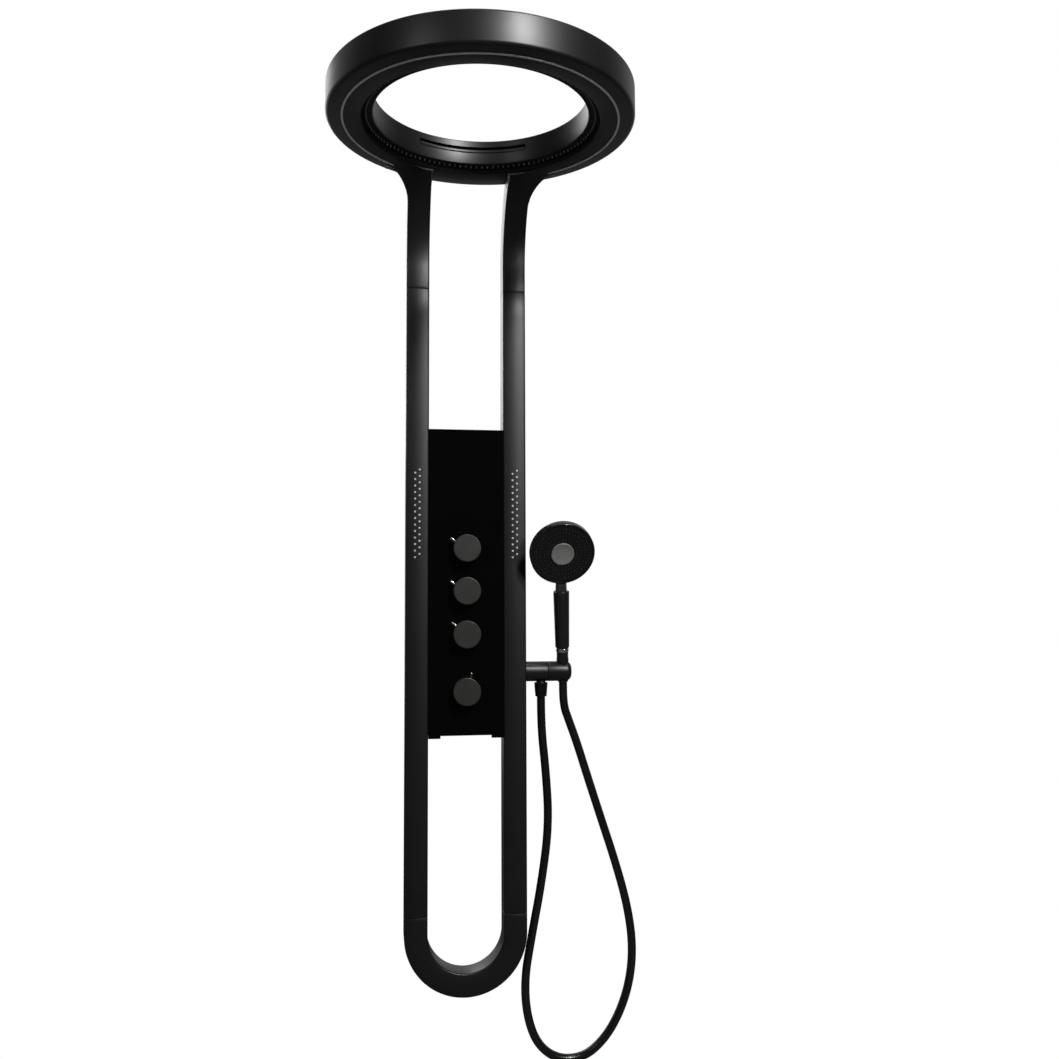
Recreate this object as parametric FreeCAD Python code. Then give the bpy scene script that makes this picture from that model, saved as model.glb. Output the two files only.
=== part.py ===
import FreeCAD, Part
import math
import os

from FreeCAD import Vector

os.makedirs("parts", exist_ok=True)

# Wall-mounted shower column. Millimetres. X runs to the right, Y into the wall, Z up.
# The origin lies on the wall, behind the middle of the glass panel.

# Shared clearances
seat = 0.1              # between fixed pieces that fit in each other
running = 0.05          # radial, between a shaft and its hole
moving_gap = 0.3        # between pieces that move past each other
overrun = 5.0           # how far a cutting shape runs past what it cuts
tick = 0.2              # a cutting shape's least run past a face

# Rails: two hollow posts with a slightly crowned front
column_width = 200.0
rail_width = 38.0
rail_depth = 45.0
rail_wall = 2.5
rail_corner = 3.0
front_crown = 1.5
wall_gap = 1.0
rail_above_panel = 236.8
rail_below_panel = 283.9

# Seams between rails, bend and necks, with their inner connectors
seam_gap = 0.6
seam_setback = 0.8
connector_reach = 15.0
connector_wall = 2.0

# U-bend that joins the rails at the foot
bend_leg = 29.3

# Glass panel
panel_height = 510.0
glass_thickness = 6.0
glass_side_gap = 0.2
glass_bevel = 0.8
notch_depth = 4.5
notch_half_width = 42.0
glass_hole_r = 9.0

# Gasket, housing and wall bracket behind the glass
gasket_thickness = 1.5
gasket_width = 6.0
housing_wall = 2.0
bracket_thickness = 3.0
bracket_width = 90.0
bracket_height = 80.0
wall_screw_spacing_x = 70.0
wall_screw_spacing_z = 50.0
wall_screw_hole_r = 2.75
wall_screw_access_r = 6.0

# Screws from the housing into the rails
rail_screw_r = 2.0
rail_screw_head_r = 3.8
rail_screw_head = 2.2
rail_screw_bite = 6.0
rail_screw_y = -22.0
rail_screw_heights = (-225.0, -110.0, 110.0, 225.0)

# Knobs, from the top down, and where each lever pin points at rest
knob_r = 22.5
knob_height = 21.6
knob_glass_gap = 0.4
knob_edge = 0.9
knob_front = 5.6        # solid front of a knob, ahead of its spindle hole
rain_knob_z = 55.8
cascade_knob_z = -14.2
diverter_knob_z = -85.2
temperature_knob_z = -178.2
rain_lever_deg = 148.0
cascade_lever_deg = 149.0
diverter_lever_deg = 141.0
temperature_lever_deg = 75.0
lever_r = 2.0
lever_inner = 14.0
lever_tip = 32.0
lever_round = 1.0
spindle_r = 4.0
spindle_depth = 16.0    # how far a spindle reaches into its cartridge

# Valve body, cartridges and their nuts
valve_half_width = 17.0
valve_front = -30.0
valve_top = 82.0
valve_bottom = -205.0
boss_r = 17.0
boss_height = 3.0
cartridge_r = 13.0
cartridge_front = -36.0
cartridge_back = -14.0
nut_r = 16.5
nut_height = 2.5
seal_height = 4.0
seal_gap = 0.4

# Water inlets at the wall: half-inch nipples
inlet_x = 38.0
inlet_y = -24.0
inlet_thread_r = 10.48
inlet_length = 12.0
inlet_wall_gap = 1.0
inlet_body_r = 11.5
inlet_branch_r = 8.0
inlet_bore_r = 7.0
inlet_access_r = 17.0
check_valve_length = 9.0

# Pipes inside the column
riser_r = 6.0
riser_wall = 1.0
riser_y = -12.0
jet_pipe_r = 5.0
jet_pipe_y = -27.0
pipe_clear = 0.5
pipe_bend = 14.0

# Body jets in the rails
jet_rows = 14
jet_pitch = 10.75
jet_first_z = 41.4
jet_column_offset = 3.7
jet_r = 1.5
jet_hole_clear = 0.25
jet_proud = 1.0
jet_mat_half_width = 12.0
jet_mat_thickness = 2.0
jet_mat_margin = 11.0
jet_block_depth = 17.0
jet_block_wall = 2.5

# Necks: the rails carried on, bent forward into the ring
neck_rise = 38.7
neck_bend_r = 129.0     # of the front face
flare_outer_r = 55.0        # in plan
flare_outer_under_r = 24.0  # seen from the front
flare_inner_r = 12.0
flare_inner_under_r = 12.0
flare_root = 8.0

# Ring head
ring_r = 223.0
ring_band = 67.0         # from the outer wall in to the open bore
ring_reach = 301.0      # from the wall to the ring's centre
ring_height = 46.0
ring_wall = 2.5
ring_top_round = 3.5
ring_low_round = 5.0
trim_inset = 23.5       # from the outer wall to the middle of the light line on the underside
trim_width = 3.0
trim_proud = 0.4
channel_width = 17.0    # from the bore out
channel_depth = 9.0
face_lip = 2.0
nozzle_mat_thickness = 2.0
nozzle_inset = 10.0     # from the bore to the nozzles
nozzle_count = 120
nozzle_r = 1.2
nozzle_length = 3.2
nozzle_tip_share = 0.8      # of its root's radius
sleeve_wall = 2.5
sleeve_drop = 0.5       # from the nozzle mat down to the sleeve's rim

# Rain and cascade chambers inside the ring
rain_chamber_height = 13.0
chamber_wall = 2.0
cascade_slot_low = 26.2     # above the ring's underside
cascade_slot_height = 10.0
cascade_slot_half_deg = 32.0
cascade_chamber_depth = 10.5
cascade_lip_thickness = 5.0
cascade_lip_gap = 1.0   # above the slot's lower edge
cascade_lip_recess = 0.4
port_half_width = 9.0
port_length = 40.0
port_bite = 3.8         # how far a port reaches into its chamber
port_low = 16.0
port_high = 34.0
port_r = 5.0

# Handset outlet and holder on the right rail
holder_y = -25.0
holder_z = -148.7
holder_r = 16.5
holder_seam_x = 137.0
holder_seam_gap = 0.4
holder_end_x = 178.0
holder_end_round = 9.0
outlet_shank_r = 8.0
outlet_shank = 12.0
outlet_nut_r = 12.0
outlet_nut_height = 5.0
outlet_bore_r = 5.0
hose_x = 127.0
nipple_r = 7.8
nipple_length = 12.0
journal_r = 6.0
journal_length = 13.0
socket_x = 164.3
slot_width = 15.6

# Hose nut and hose
hose_r = 7.0
hose_nut_top_r = 11.4
hose_nut_bottom_r = 9.6
hose_nut_gap = 1.8
hose_nut_length = 23.2
hose_bore_r = 4.5

# Handset, along its own axis from the middle of the holder
handset_tilt = 13.0     # degrees, the head towards the user
handset_lean = 3.0      # degrees, the head towards the column
cone_low = -18.0
cone_low_r = 8.7
cone_high = 22.0
cone_high_r = 10.3
cone_neck_r = 9.8
cone_step = 2.0
cone_top = 34.2
end_ring_r = 10.8
end_ring_low = 34.4
end_ring_high = 41.4
grip_low = 41.6
grip_high = 137.5
grip_low_r = 11.7
grip_high_r = 13.4
grip_round = 1.2
collar_low = 137.7
collar_high = 151.0
collar_low_r = 10.4
collar_high_r = 9.4
core_r = 7.9
core_bore_r = 5.5
core_high = 150.5
tail_length = 16.0
tail_gap = 0.8

# Handset head, along its own axis from its face
head_z = 204.0
head_forward = 22.0
head_tilt = 14.0         # degrees beyond the handle
head_r = 53.5
head_rim_depth = 14.0
head_rim_width = 3.0
head_rim_proud = 0.5
head_rim_round = 1.4
spray_plate_depth = 0.8
spray_plate_thickness = 2.5
spray_mat_thickness = 1.2
spray_nozzle_r = 0.9
spray_nozzle_proud = 0.7
spray_rings = ((23.5, 28), (30.5, 36), (37.5, 44), (44.0, 52))
button_r = 19.0
button_proud = 1.5
button_depth = 7.0
button_travel = 2.5
button_round = 0.8
head_shell_wall = 2.2
head_dome_r = 52.0
head_dome_mid_r = 34.0
head_dome_mid_depth = 21.5
head_dome_depth = 24.5
head_dome_flat_r = 8.0
stub_r = 9.3
stub_reach = 18.0
selector_r = 16.0
selector_depth = 13.0
selector_thickness = 4.0
spring_crest_r = 6.6
spring_valley_r = 5.0
spring_wall = 0.8
spring_folds = 3

# Each bend of the hose takes this share of the shorter run beside it
hose_run_share = 0.45

# Route of the hose from its nut down, round and up to its tail, chosen by hand
hose_route = [
    (127.0, -25.0, -190.5),
    (126.8, -25.0, -240.0),
    (134.5, -24.8, -312.0),
    (139.5, -24.6, -400.0),
    (127.5, -24.2, -492.0),
    (109.0, -23.8, -586.0),
    (97.5, -23.4, -652.0),
    (101.5, -23.0, -710.0),
    (118.5, -22.4, -756.5),
    (152.6, -21.6, -782.5),
    (195.4, -20.8, -782.5),
    (230.5, -20.0, -757.0),
    (257.5, -19.4, -716.0),
    (276.0, -18.9, -664.0),
    (281.8, -18.4, -606.0),
    (273.0, -17.9, -540.0),
    (252.5, -17.0, -466.0),
    (229.0, -15.5, -394.0),
    (206.0, -14.0, -322.0),
    (190.0, -12.4, -270.0),
    (176.8, -11.0, -233.0),
    (167.4, -11.6, -206.9),
]

# Places worked out from the sizes above
front_y = -(wall_gap + rail_depth)
shoulder_y = front_y + front_crown
gap_half = column_width / 2 - rail_width
rail_x = (column_width - rail_width) / 2
panel_low = -panel_height / 2
panel_high = panel_height / 2
foot_seam_z = panel_low - rail_below_panel
head_seam_z = panel_high + rail_above_panel
bend_z = foot_seam_z - bend_leg
neck_bend_z = head_seam_z + neck_rise
neck_centre_y = front_y - neck_bend_r
ring_low = neck_bend_z + neck_bend_r
ring_high = ring_low + ring_height
ring_centre = Vector(0, -ring_reach, 0)
glass_front = shoulder_y
glass_back = glass_front + glass_thickness
housing_front = glass_back + gasket_thickness
housing_back = -bracket_thickness
housing_floor = housing_back - housing_wall
knob_back = glass_front - knob_glass_gap
knob_face = knob_back - knob_height
spindle_tip = knob_face + knob_front
knobs = (
    ("rain", rain_knob_z, rain_lever_deg),
    ("cascade", cascade_knob_z, cascade_lever_deg),
    ("diverter", diverter_knob_z, diverter_lever_deg),
    ("temperature", temperature_knob_z, temperature_lever_deg),
)
holder_mid = Vector(socket_x, holder_y, holder_z)
nozzle_mat_low = ring_low + channel_depth
nozzle_mat_high = nozzle_mat_low + nozzle_mat_thickness
ring_bore_r = ring_r - ring_band
channel_r = ring_bore_r + channel_width
trim_r = ring_r - trim_inset
nozzle_circle_r = ring_bore_r + nozzle_inset
sleeve_out_r = ring_bore_r + sleeve_wall
rain_chamber_r = channel_r - seat
port_front_y = math.sqrt(rain_chamber_r ** 2 - rail_x ** 2) - ring_reach - port_bite
port_back_y = port_front_y + port_length
slot_low = ring_low + cascade_slot_low
slot_high = slot_low + cascade_slot_height

x_axis = Vector(1, 0, 0)
y_axis = Vector(0, 1, 0)
z_axis = Vector(0, 0, 1)


def block(x_low, x_high, y_low, y_high, z_low, z_high):
    corner = Vector(x_low, y_low, z_low)
    return Part.makeBox(x_high - x_low, y_high - y_low, z_high - z_low, corner)


def rod(radius, start, end):
    along = end - start
    return Part.makeCylinder(radius, along.Length, start, along)


def across(radius, x, z, y_low, y_high):
    # A round bar along Y, from one depth to the next
    return rod(radius, Vector(x, y_low, z), Vector(x, y_high, z))


def annulus(outer_r, inner_r, low, high, centre):
    # A flat ring about a vertical line through a centre
    base = Vector(centre.x, centre.y, low)
    outer = Part.makeCylinder(outer_r, high - low, base)
    inner = Part.makeCylinder(inner_r, high - low + 2 * overrun, base - z_axis * overrun)
    return outer.cut(inner)


def turned(outline):
    # Turns an outline of (radius, height) points about Z
    points = [Vector(r, 0, z) for r, z in outline]
    face = Part.Face(Part.makePolygon(points + points[:1]))
    return face.revolve(Vector(), z_axis, 360)


def ring_sector(outer_r, inner_r, low, high, half_deg):
    # Part of a flat ring about the ring head's centre, on its wall side
    points = [Vector(inner_r, 0, low), Vector(outer_r, 0, low), Vector(outer_r, 0, high), Vector(inner_r, 0, high)]
    face = Part.Face(Part.makePolygon(points + points[:1]))
    sector = face.revolve(Vector(), z_axis, 2 * half_deg)
    sector.rotate(Vector(), z_axis, 90 - half_deg)
    sector.translate(ring_centre)
    return sector


def rail_section(inset):
    # Outline of a rail seen from above, drawn in by an even inset
    half = rail_width / 2 - inset
    back = -wall_gap - inset
    shoulder = shoulder_y + inset
    crest = front_y + inset
    corner = max(rail_corner - inset, rail_corner / 4)
    bow = corner * (1 - math.sqrt(0.5))
    outline = [
        Part.LineSegment(Vector(-half, back, 0), Vector(half, back, 0)),
        Part.LineSegment(Vector(half, back, 0), Vector(half, shoulder + corner, 0)),
        Part.Arc(Vector(half, shoulder + corner, 0), Vector(half - bow, shoulder + bow, 0),
                 Vector(half - corner, shoulder, 0)),
        Part.Arc(Vector(half - corner, shoulder, 0), Vector(0, crest, 0), Vector(corner - half, shoulder, 0)),
        Part.Arc(Vector(corner - half, shoulder, 0), Vector(bow - half, shoulder + bow, 0),
                 Vector(-half, shoulder + corner, 0)),
        Part.LineSegment(Vector(-half, shoulder + corner, 0), Vector(-half, back, 0)),
    ]
    return Part.Face(Part.Wire([piece.toShape() for piece in outline]))


def rail_prism(side, inset, low, high):
    face = rail_section(inset)
    face.translate(Vector(side * rail_x, 0, low))
    return face.extrude(z_axis * (high - low))


def bent_path(points, bends):
    # Straight runs joined by tangent arcs, one bend radius for each inner point
    edges = []
    here = points[0]
    for before, corner, after, radius in zip(points, points[1:], points[2:], bends):
        back = (before - corner).normalize()
        ahead = (after - corner).normalize()
        half_turn = (math.pi - back.getAngle(ahead)) / 2
        inward = (back + ahead).normalize()
        trim = radius * math.tan(half_turn)
        start = corner + back * trim
        end = corner + ahead * trim
        middle = corner + inward * (radius / math.cos(half_turn) - radius)
        edges.append(Part.LineSegment(here, start).toShape())
        edges.append(Part.Arc(start, middle, end).toShape())
        here = end
    edges.append(Part.LineSegment(here, points[-1]).toShape())
    return Part.Wire(edges)


def swept(path, start, along, radius):
    circle = Part.Wire([Part.Circle(start, along, radius).toShape()])
    return path.makePipeShell([circle], True, False)


def pipe(points, bends, radius, wall):
    path = bent_path(points, bends)
    along = points[1] - points[0]
    outer = swept(path, points[0], along, radius)
    return outer.cut(swept(path, points[0], along, radius - wall))


def on_handset(shape):
    # From the handset's own upright axis to its place in the holder
    shape.rotate(Vector(), y_axis, -handset_lean)
    shape.rotate(Vector(), x_axis, handset_tilt)
    shape.translate(holder_mid)
    return shape


def on_head(shape):
    # From the head's own axis, face down at Z = 0, to its place on the handset
    shape.rotate(Vector(), x_axis, -90)
    shape.rotate(Vector(), x_axis, head_tilt)
    shape.translate(Vector(0, -head_forward, head_z))
    return on_handset(shape)


def rail_screw_places(side):
    return [Vector(side * gap_half, rail_screw_y, z) for z in rail_screw_heights]


def jet_places(side):
    places = []
    for row in range(jet_rows):
        z = jet_first_z + row * jet_pitch
        places.append((side * rail_x - jet_column_offset, z))
        places.append((side * rail_x + jet_column_offset, z + jet_pitch / 2))
    return places


jet_mat_low = jet_first_z - jet_mat_margin
jet_mat_high = jet_first_z + (jet_rows - 1) * jet_pitch + jet_pitch / 2 + jet_mat_margin
jet_mat_front = shoulder_y + rail_wall + seat
jet_mat_back = jet_mat_front + jet_mat_thickness
jet_block_back = jet_mat_back + jet_block_depth


# Pipes as (points, bends, radius): each side's pipes leave the valve body sideways
def riser_route(side, z):
    return [
        Vector(side * (valve_half_width + seat), riser_y, z),
        Vector(side * rail_x, riser_y, z),
        Vector(side * rail_x, riser_y, neck_bend_z),
    ]


def jet_route(side):
    return [
        Vector(side * (valve_half_width + seat), jet_pipe_y, diverter_knob_z),
        Vector(side * rail_x, jet_pipe_y, diverter_knob_z),
        Vector(side * rail_x, jet_pipe_y, jet_mat_low - seat),
    ]


def side_windows(side):
    # Cutters for what crosses the housing's and the rail's facing walls
    crossings = [(riser_r, riser_y, rain_knob_z if side < 0 else cascade_knob_z),
                 (jet_pipe_r, jet_pipe_y, diverter_knob_z)]
    if side > 0:
        crossings.append((riser_r, holder_y, holder_z))
    reach = rail_wall + housing_wall
    cutters = []
    for radius, y, z in crossings:
        start = Vector(side * (gap_half - reach), y, z)
        cutters.append(rod(radius + pipe_clear, start, start + x_axis * (side * 2 * reach)))
    for place in rail_screw_places(side):
        start = place - x_axis * (side * reach)
        cutters.append(rod(rail_screw_r + running, start, start + x_axis * (side * 2 * reach)))
    return cutters


def rail(side):
    low = foot_seam_z + seam_gap / 2
    high = head_seam_z - seam_gap / 2
    tube = rail_prism(side, 0, low, high).cut(rail_prism(side, rail_wall, low - overrun, high + overrun))
    cutters = side_windows(side)
    for x, z in jet_places(side):
        cutters.append(across(jet_r + jet_hole_clear, x, z, front_y - overrun, jet_mat_front))
    if side > 0:
        shank_end = Vector(column_width / 2 + overrun, holder_y, holder_z)
        start = Vector(column_width / 2 - rail_wall - tick, holder_y, holder_z)
        cutters.append(rod(outlet_shank_r + seat, start, shank_end))
    return tube.cut(cutters)


def bottom_bend():
    def bend(inset, past):
        face = rail_section(inset)
        face.translate(Vector(rail_x, 0, bend_z))
        turn = face.revolve(Vector(0, 0, bend_z), y_axis, 180)
        top = foot_seam_z - seam_gap / 2 + past
        return turn.fuse([rail_prism(-1, inset, bend_z, top), rail_prism(1, inset, bend_z, top)]).removeSplitter()
    return bend(0, 0).cut(bend(rail_wall, overrun))


def connector(side, seam_z):
    inset = rail_wall + seat
    low = seam_z - connector_reach
    high = seam_z + connector_reach
    plug = rail_prism(side, inset, low, high)
    collar = rail_prism(side, seam_setback, seam_z - seam_gap / 2, seam_z + seam_gap / 2)
    bore = rail_prism(side, inset + connector_wall, low - overrun, high + overrun)
    return plug.fuse(collar).cut(bore)


def ring_space(radius, low):
    base = Vector(0, -ring_reach, low)
    return Part.makeCylinder(radius, ring_high + overrun - low, base)


def flare(edge_x, outward, plan_r, under_r):
    # Rounded gusset between a neck's side and the ring: in plan against the ring's wall, and in
    # front view against its underside
    middle_x = edge_x + outward * plan_r
    middle_y = -ring_reach + math.sqrt((ring_r + plan_r) ** 2 - middle_x ** 2)
    middle = Vector(middle_x, middle_y, 0)
    on_neck = Vector(edge_x, middle_y, 0)
    on_ring = ring_centre + (middle - ring_centre) * (ring_r / (ring_r + plan_r))
    in_ring = ring_centre + (on_ring - ring_centre) * ((ring_r - flare_root) / ring_r)
    bisector = (on_neck - middle) + (on_ring - middle)
    bottom = middle + bisector.normalize() * plan_r
    root_x = edge_x - outward * flare_root
    corner_a = Vector(root_x, in_ring.y, 0)
    corner_b = Vector(root_x, middle_y, 0)
    outline = [
        Part.LineSegment(corner_b, on_neck), Part.Arc(on_neck, bottom, on_ring),
        Part.LineSegment(on_ring, in_ring), Part.LineSegment(in_ring, corner_a),
        Part.LineSegment(corner_a, corner_b),
    ]
    plan = Part.Face(Part.Wire([piece.toShape() for piece in outline]))
    plan.translate(z_axis * neck_bend_z)
    prism = plan.extrude(z_axis * (ring_high - neck_bend_z))
    tip_x = edge_x + outward * under_r
    low_x, high_x = sorted((root_x, tip_x))
    under = block(low_x, high_x, neck_centre_y, middle_y, neck_bend_z, ring_low)
    under = under.common(Part.makeCylinder(ring_r, ring_low, ring_centre))
    reach_x = sorted((root_x - outward * overrun, on_ring.x + outward * overrun))
    strip = [Vector(reach_x[0], shoulder_y, neck_bend_z), Vector(reach_x[1], shoulder_y, neck_bend_z),
             Vector(reach_x[1], -wall_gap, neck_bend_z), Vector(reach_x[0], -wall_gap, neck_bend_z)]
    face = Part.Face(Part.makePolygon(strip + strip[:1]))
    band = face.revolve(Vector(0, neck_centre_y, neck_bend_z), x_axis, 90)
    body = prism.fuse(under).common(band)
    # The lower side rises in an arc from the neck's side to the ring's underside
    past_x = on_ring.x + outward * overrun
    side_low, side_high = sorted((edge_x, past_x))
    tip_low, tip_high = sorted((tip_x, past_x))
    cutters = [
        block(side_low, side_high, neck_centre_y - overrun, 0, neck_bend_z - overrun, ring_low - under_r),
        across(under_r, tip_x, ring_low - under_r, neck_centre_y - overrun, 0),
    ]
    if tip_high - tip_low > overrun:
        cutters.append(block(tip_low, tip_high, neck_centre_y - overrun, 0, neck_bend_z - overrun, ring_low))
    return body.cut(cutters)


def neck(side):
    def bend(inset, low):
        face = rail_section(inset)
        face.translate(Vector(side * rail_x, 0, neck_bend_z))
        turn = face.revolve(Vector(0, neck_centre_y, neck_bend_z), x_axis, 90)
        return turn.fuse(rail_prism(side, inset, low, neck_bend_z)).removeSplitter()
    low = head_seam_z + seam_gap / 2
    outer_edge = side * column_width / 2
    inner_edge = side * gap_half
    flares = [flare(outer_edge, side, flare_outer_r, flare_outer_under_r),
              flare(inner_edge, -side, flare_inner_r, flare_inner_under_r)]
    body = bend(0, low).fuse(flares)
    body = body.cut([ring_space(ring_r + seat, ring_low - seat), bend(rail_wall, low - overrun)])
    # The neck's thin end stops at the nozzle channel and clears the light trim line
    tip = Part.makeCylinder(channel_r + face_lip, ring_high, ring_centre)
    trim = annulus(trim_r + trim_width / 2 + seat, trim_r - trim_width / 2 - seat,
                   ring_low - trim_proud - seat, ring_high, ring_centre)
    return body.cut([tip, trim])


def riser(side, z, clear):
    # From the valve body up the rail and round the neck to the ring's port
    points = riser_route(side, z)
    bend_r = riser_y - neck_centre_y
    outer = swept(bent_path(points, [pipe_bend]), points[0], points[1] - points[0], riser_r + clear)
    inner = swept(bent_path(points, [pipe_bend]), points[0], points[1] - points[0], riser_r - riser_wall)
    top = points[-1]

    def quarter(radius):
        face = Part.Face(Part.Wire([Part.Circle(top, z_axis, radius).toShape()]))
        sweep_deg = math.degrees(math.acos((port_back_y - riser_r - neck_centre_y) / bend_r))
        return face.revolve(Vector(0, neck_centre_y, neck_bend_z), x_axis, sweep_deg)
    whole = outer.fuse(quarter(riser_r + clear))
    if clear > 0:
        return whole
    past_port = block(side * rail_x - port_half_width, side * rail_x + port_half_width,
                      port_front_y, port_back_y + seat, neck_bend_z, ring_high)
    return whole.cut([inner, quarter(riser_r - riser_wall), past_port])


def ring_shell():
    trim_out = trim_r + trim_width / 2 + seat
    outline = [
        (trim_out, ring_low), (ring_r, ring_low), (ring_r, ring_high), (ring_bore_r, ring_high),
        (ring_bore_r, ring_high - ring_wall), (ring_r - ring_wall, ring_high - ring_wall),
        (ring_r - ring_wall, ring_low + ring_wall), (trim_out, ring_low + ring_wall),
    ]
    shell = turned(outline)
    for radius, height in ((ring_low_round, ring_low), (ring_top_round, ring_high)):
        rims = [edge for edge in shell.Edges if abs(edge.BoundBox.XMax - ring_r) < tick]
        rims = [edge for edge in rims if abs(edge.BoundBox.ZMin - height) < tick and edge.BoundBox.ZLength < tick]
        shell = shell.makeFillet(radius, rims)
    shell.translate(ring_centre)
    return shell.cut([riser(-1, rain_knob_z, pipe_clear), riser(1, cascade_knob_z, pipe_clear)])


def ring_face():
    outer = trim_r - trim_width / 2 - seat
    outline = [
        (channel_r, ring_low), (outer, ring_low), (outer, ring_low + ring_wall),
        (channel_r + face_lip, ring_low + ring_wall), (channel_r + face_lip, nozzle_mat_high),
        (channel_r, nozzle_mat_high),
    ]
    plate = turned(outline)
    plate.translate(ring_centre)
    return plate


def trim_ring():
    return annulus(trim_r + trim_width / 2, trim_r - trim_width / 2, ring_low - trim_proud,
                   ring_low + ring_wall, ring_centre)


def nozzle_strip():
    mat = annulus(channel_r - seat, sleeve_out_r + seat, nozzle_mat_low, nozzle_mat_high, ring_centre)
    nozzles = []
    for index in range(nozzle_count):
        turn = 2 * math.pi * index / nozzle_count
        place = ring_centre + Vector(math.cos(turn), math.sin(turn), 0) * nozzle_circle_r
        base = place + z_axis * (nozzle_mat_low - nozzle_length)
        nozzles.append(Part.makeCone(nozzle_r * nozzle_tip_share, nozzle_r, nozzle_length + tick, base))
    return mat.fuse(nozzles)


def inner_sleeve():
    sleeve = annulus(sleeve_out_r, ring_bore_r, nozzle_mat_low - sleeve_drop, ring_high - ring_wall, ring_centre)
    slot = ring_sector(sleeve_out_r + overrun, ring_bore_r - overrun, slot_low, slot_high, cascade_slot_half_deg)
    return sleeve.cut(slot)


def port(side, low, high):
    return block(side * rail_x - port_half_width, side * rail_x + port_half_width, port_front_y, port_back_y,
                 ring_low + low, ring_low + high)


def port_bore(side):
    middle = ring_low + (port_low + port_high) / 2
    start = Vector(side * rail_x, port_back_y + overrun, middle)
    return rod(port_r, start, Vector(side * rail_x, port_front_y - overrun, middle))


rain_chamber_low = nozzle_mat_high + seat
rain_chamber_high = rain_chamber_low + rain_chamber_height
cascade_chamber_r = sleeve_out_r + seat + cascade_chamber_depth


def rain_chamber():
    inner_r = sleeve_out_r + seat
    body = annulus(rain_chamber_r, inner_r, rain_chamber_low, rain_chamber_high, ring_centre)
    box = port(-1, rain_chamber_low - ring_low, port_high)
    keep_out = annulus(cascade_chamber_r + seat, inner_r - overrun, rain_chamber_high, ring_high, ring_centre)
    lip_space = annulus(channel_r + face_lip + seat, inner_r, ring_low, nozzle_mat_high + seat, ring_centre)
    channel = annulus(rain_chamber_r - chamber_wall, inner_r + chamber_wall, rain_chamber_low - tick,
                      rain_chamber_high - chamber_wall, ring_centre)
    return body.fuse(box.cut([keep_out, lip_space])).cut([channel, port_bore(-1)])


def cascade_chamber():
    inner_r = sleeve_out_r + seat
    low = slot_low - chamber_wall
    high = slot_high + chamber_wall
    half_deg = cascade_slot_half_deg + chamber_wall
    body = ring_sector(cascade_chamber_r, inner_r, low, high, half_deg)
    box = port(1, port_low, high - ring_low)
    rain_space = annulus(rain_chamber_r + seat, inner_r, ring_low, rain_chamber_high + seat, ring_centre)
    room = Part.makeCylinder(cascade_chamber_r - chamber_wall, high, ring_centre)
    hollow = ring_sector(cascade_chamber_r - chamber_wall, inner_r - tick, slot_low, slot_high, cascade_slot_half_deg)
    return body.fuse(box.cut([rain_space, room])).cut([hollow, port_bore(1)])


def cascade_lip():
    low = slot_low + cascade_lip_gap
    outer = cascade_chamber_r - chamber_wall - seat
    return ring_sector(outer, ring_bore_r + cascade_lip_recess, low, low + cascade_lip_thickness,
                       cascade_slot_half_deg - tick)


def glass_panel():
    half = gap_half - glass_side_gap
    pane = block(-half, half, glass_front, glass_back, panel_low, panel_high)
    notch = block(-notch_half_width, notch_half_width, glass_front - overrun, glass_back + overrun,
                  panel_low - overrun, panel_low + notch_depth)
    pane = pane.cut(notch)
    edges = [edge for edge in pane.Edges if abs(edge.BoundBox.YMax - glass_front) < tick]
    pane = pane.makeChamfer(glass_bevel, edges)
    return pane.cut([across(glass_hole_r, 0, z, glass_front - overrun, glass_back + overrun) for _, z, _ in knobs])


def panel_gasket():
    half = gap_half - glass_side_gap
    low = panel_low + notch_depth
    outer = block(-half, half, glass_back, housing_front, low, panel_high)
    inner = block(gasket_width - half, half - gasket_width, glass_back - overrun, housing_front + overrun,
                  low + gasket_width, panel_high - gasket_width)
    return outer.cut(inner)


def panel_housing():
    low = panel_low + notch_depth
    shell = block(-gap_half, gap_half, housing_front, housing_back, low, panel_high)
    room = block(housing_wall - gap_half, gap_half - housing_wall, housing_front - overrun, housing_floor,
                 low + housing_wall, panel_high - housing_wall)
    cutters = [room] + side_windows(-1) + side_windows(1)
    for x, z in wall_screw_places():
        cutters.append(across(wall_screw_access_r, x, z, housing_floor - tick, housing_back + overrun))
    for side in (-1, 1):
        cutters.append(across(inlet_access_r, side * inlet_x, temperature_knob_z, housing_floor - tick,
                              housing_back + overrun))
    return shell.cut(cutters)


def wall_screw_places():
    half_x = wall_screw_spacing_x / 2
    half_z = wall_screw_spacing_z / 2
    return [(x, z) for x in (-half_x, half_x) for z in (-half_z, half_z)]


def wall_bracket():
    plate = block(-bracket_width / 2, bracket_width / 2, housing_back, 0, -bracket_height / 2, bracket_height / 2)
    return plate.cut([across(wall_screw_hole_r, x, z, housing_back - overrun, overrun) for x, z in wall_screw_places()])


def rail_screws():
    screws = []
    for side in (-1, 1):
        for place in rail_screw_places(side):
            seat_point = place - x_axis * (side * housing_wall)
            head = rod(rail_screw_head_r, seat_point - x_axis * (side * rail_screw_head), seat_point)
            shank = rod(rail_screw_r, seat_point, seat_point + x_axis * (side * rail_screw_bite))
            screws.append(head.fuse(shank))
    return Part.makeCompound(screws)


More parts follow.
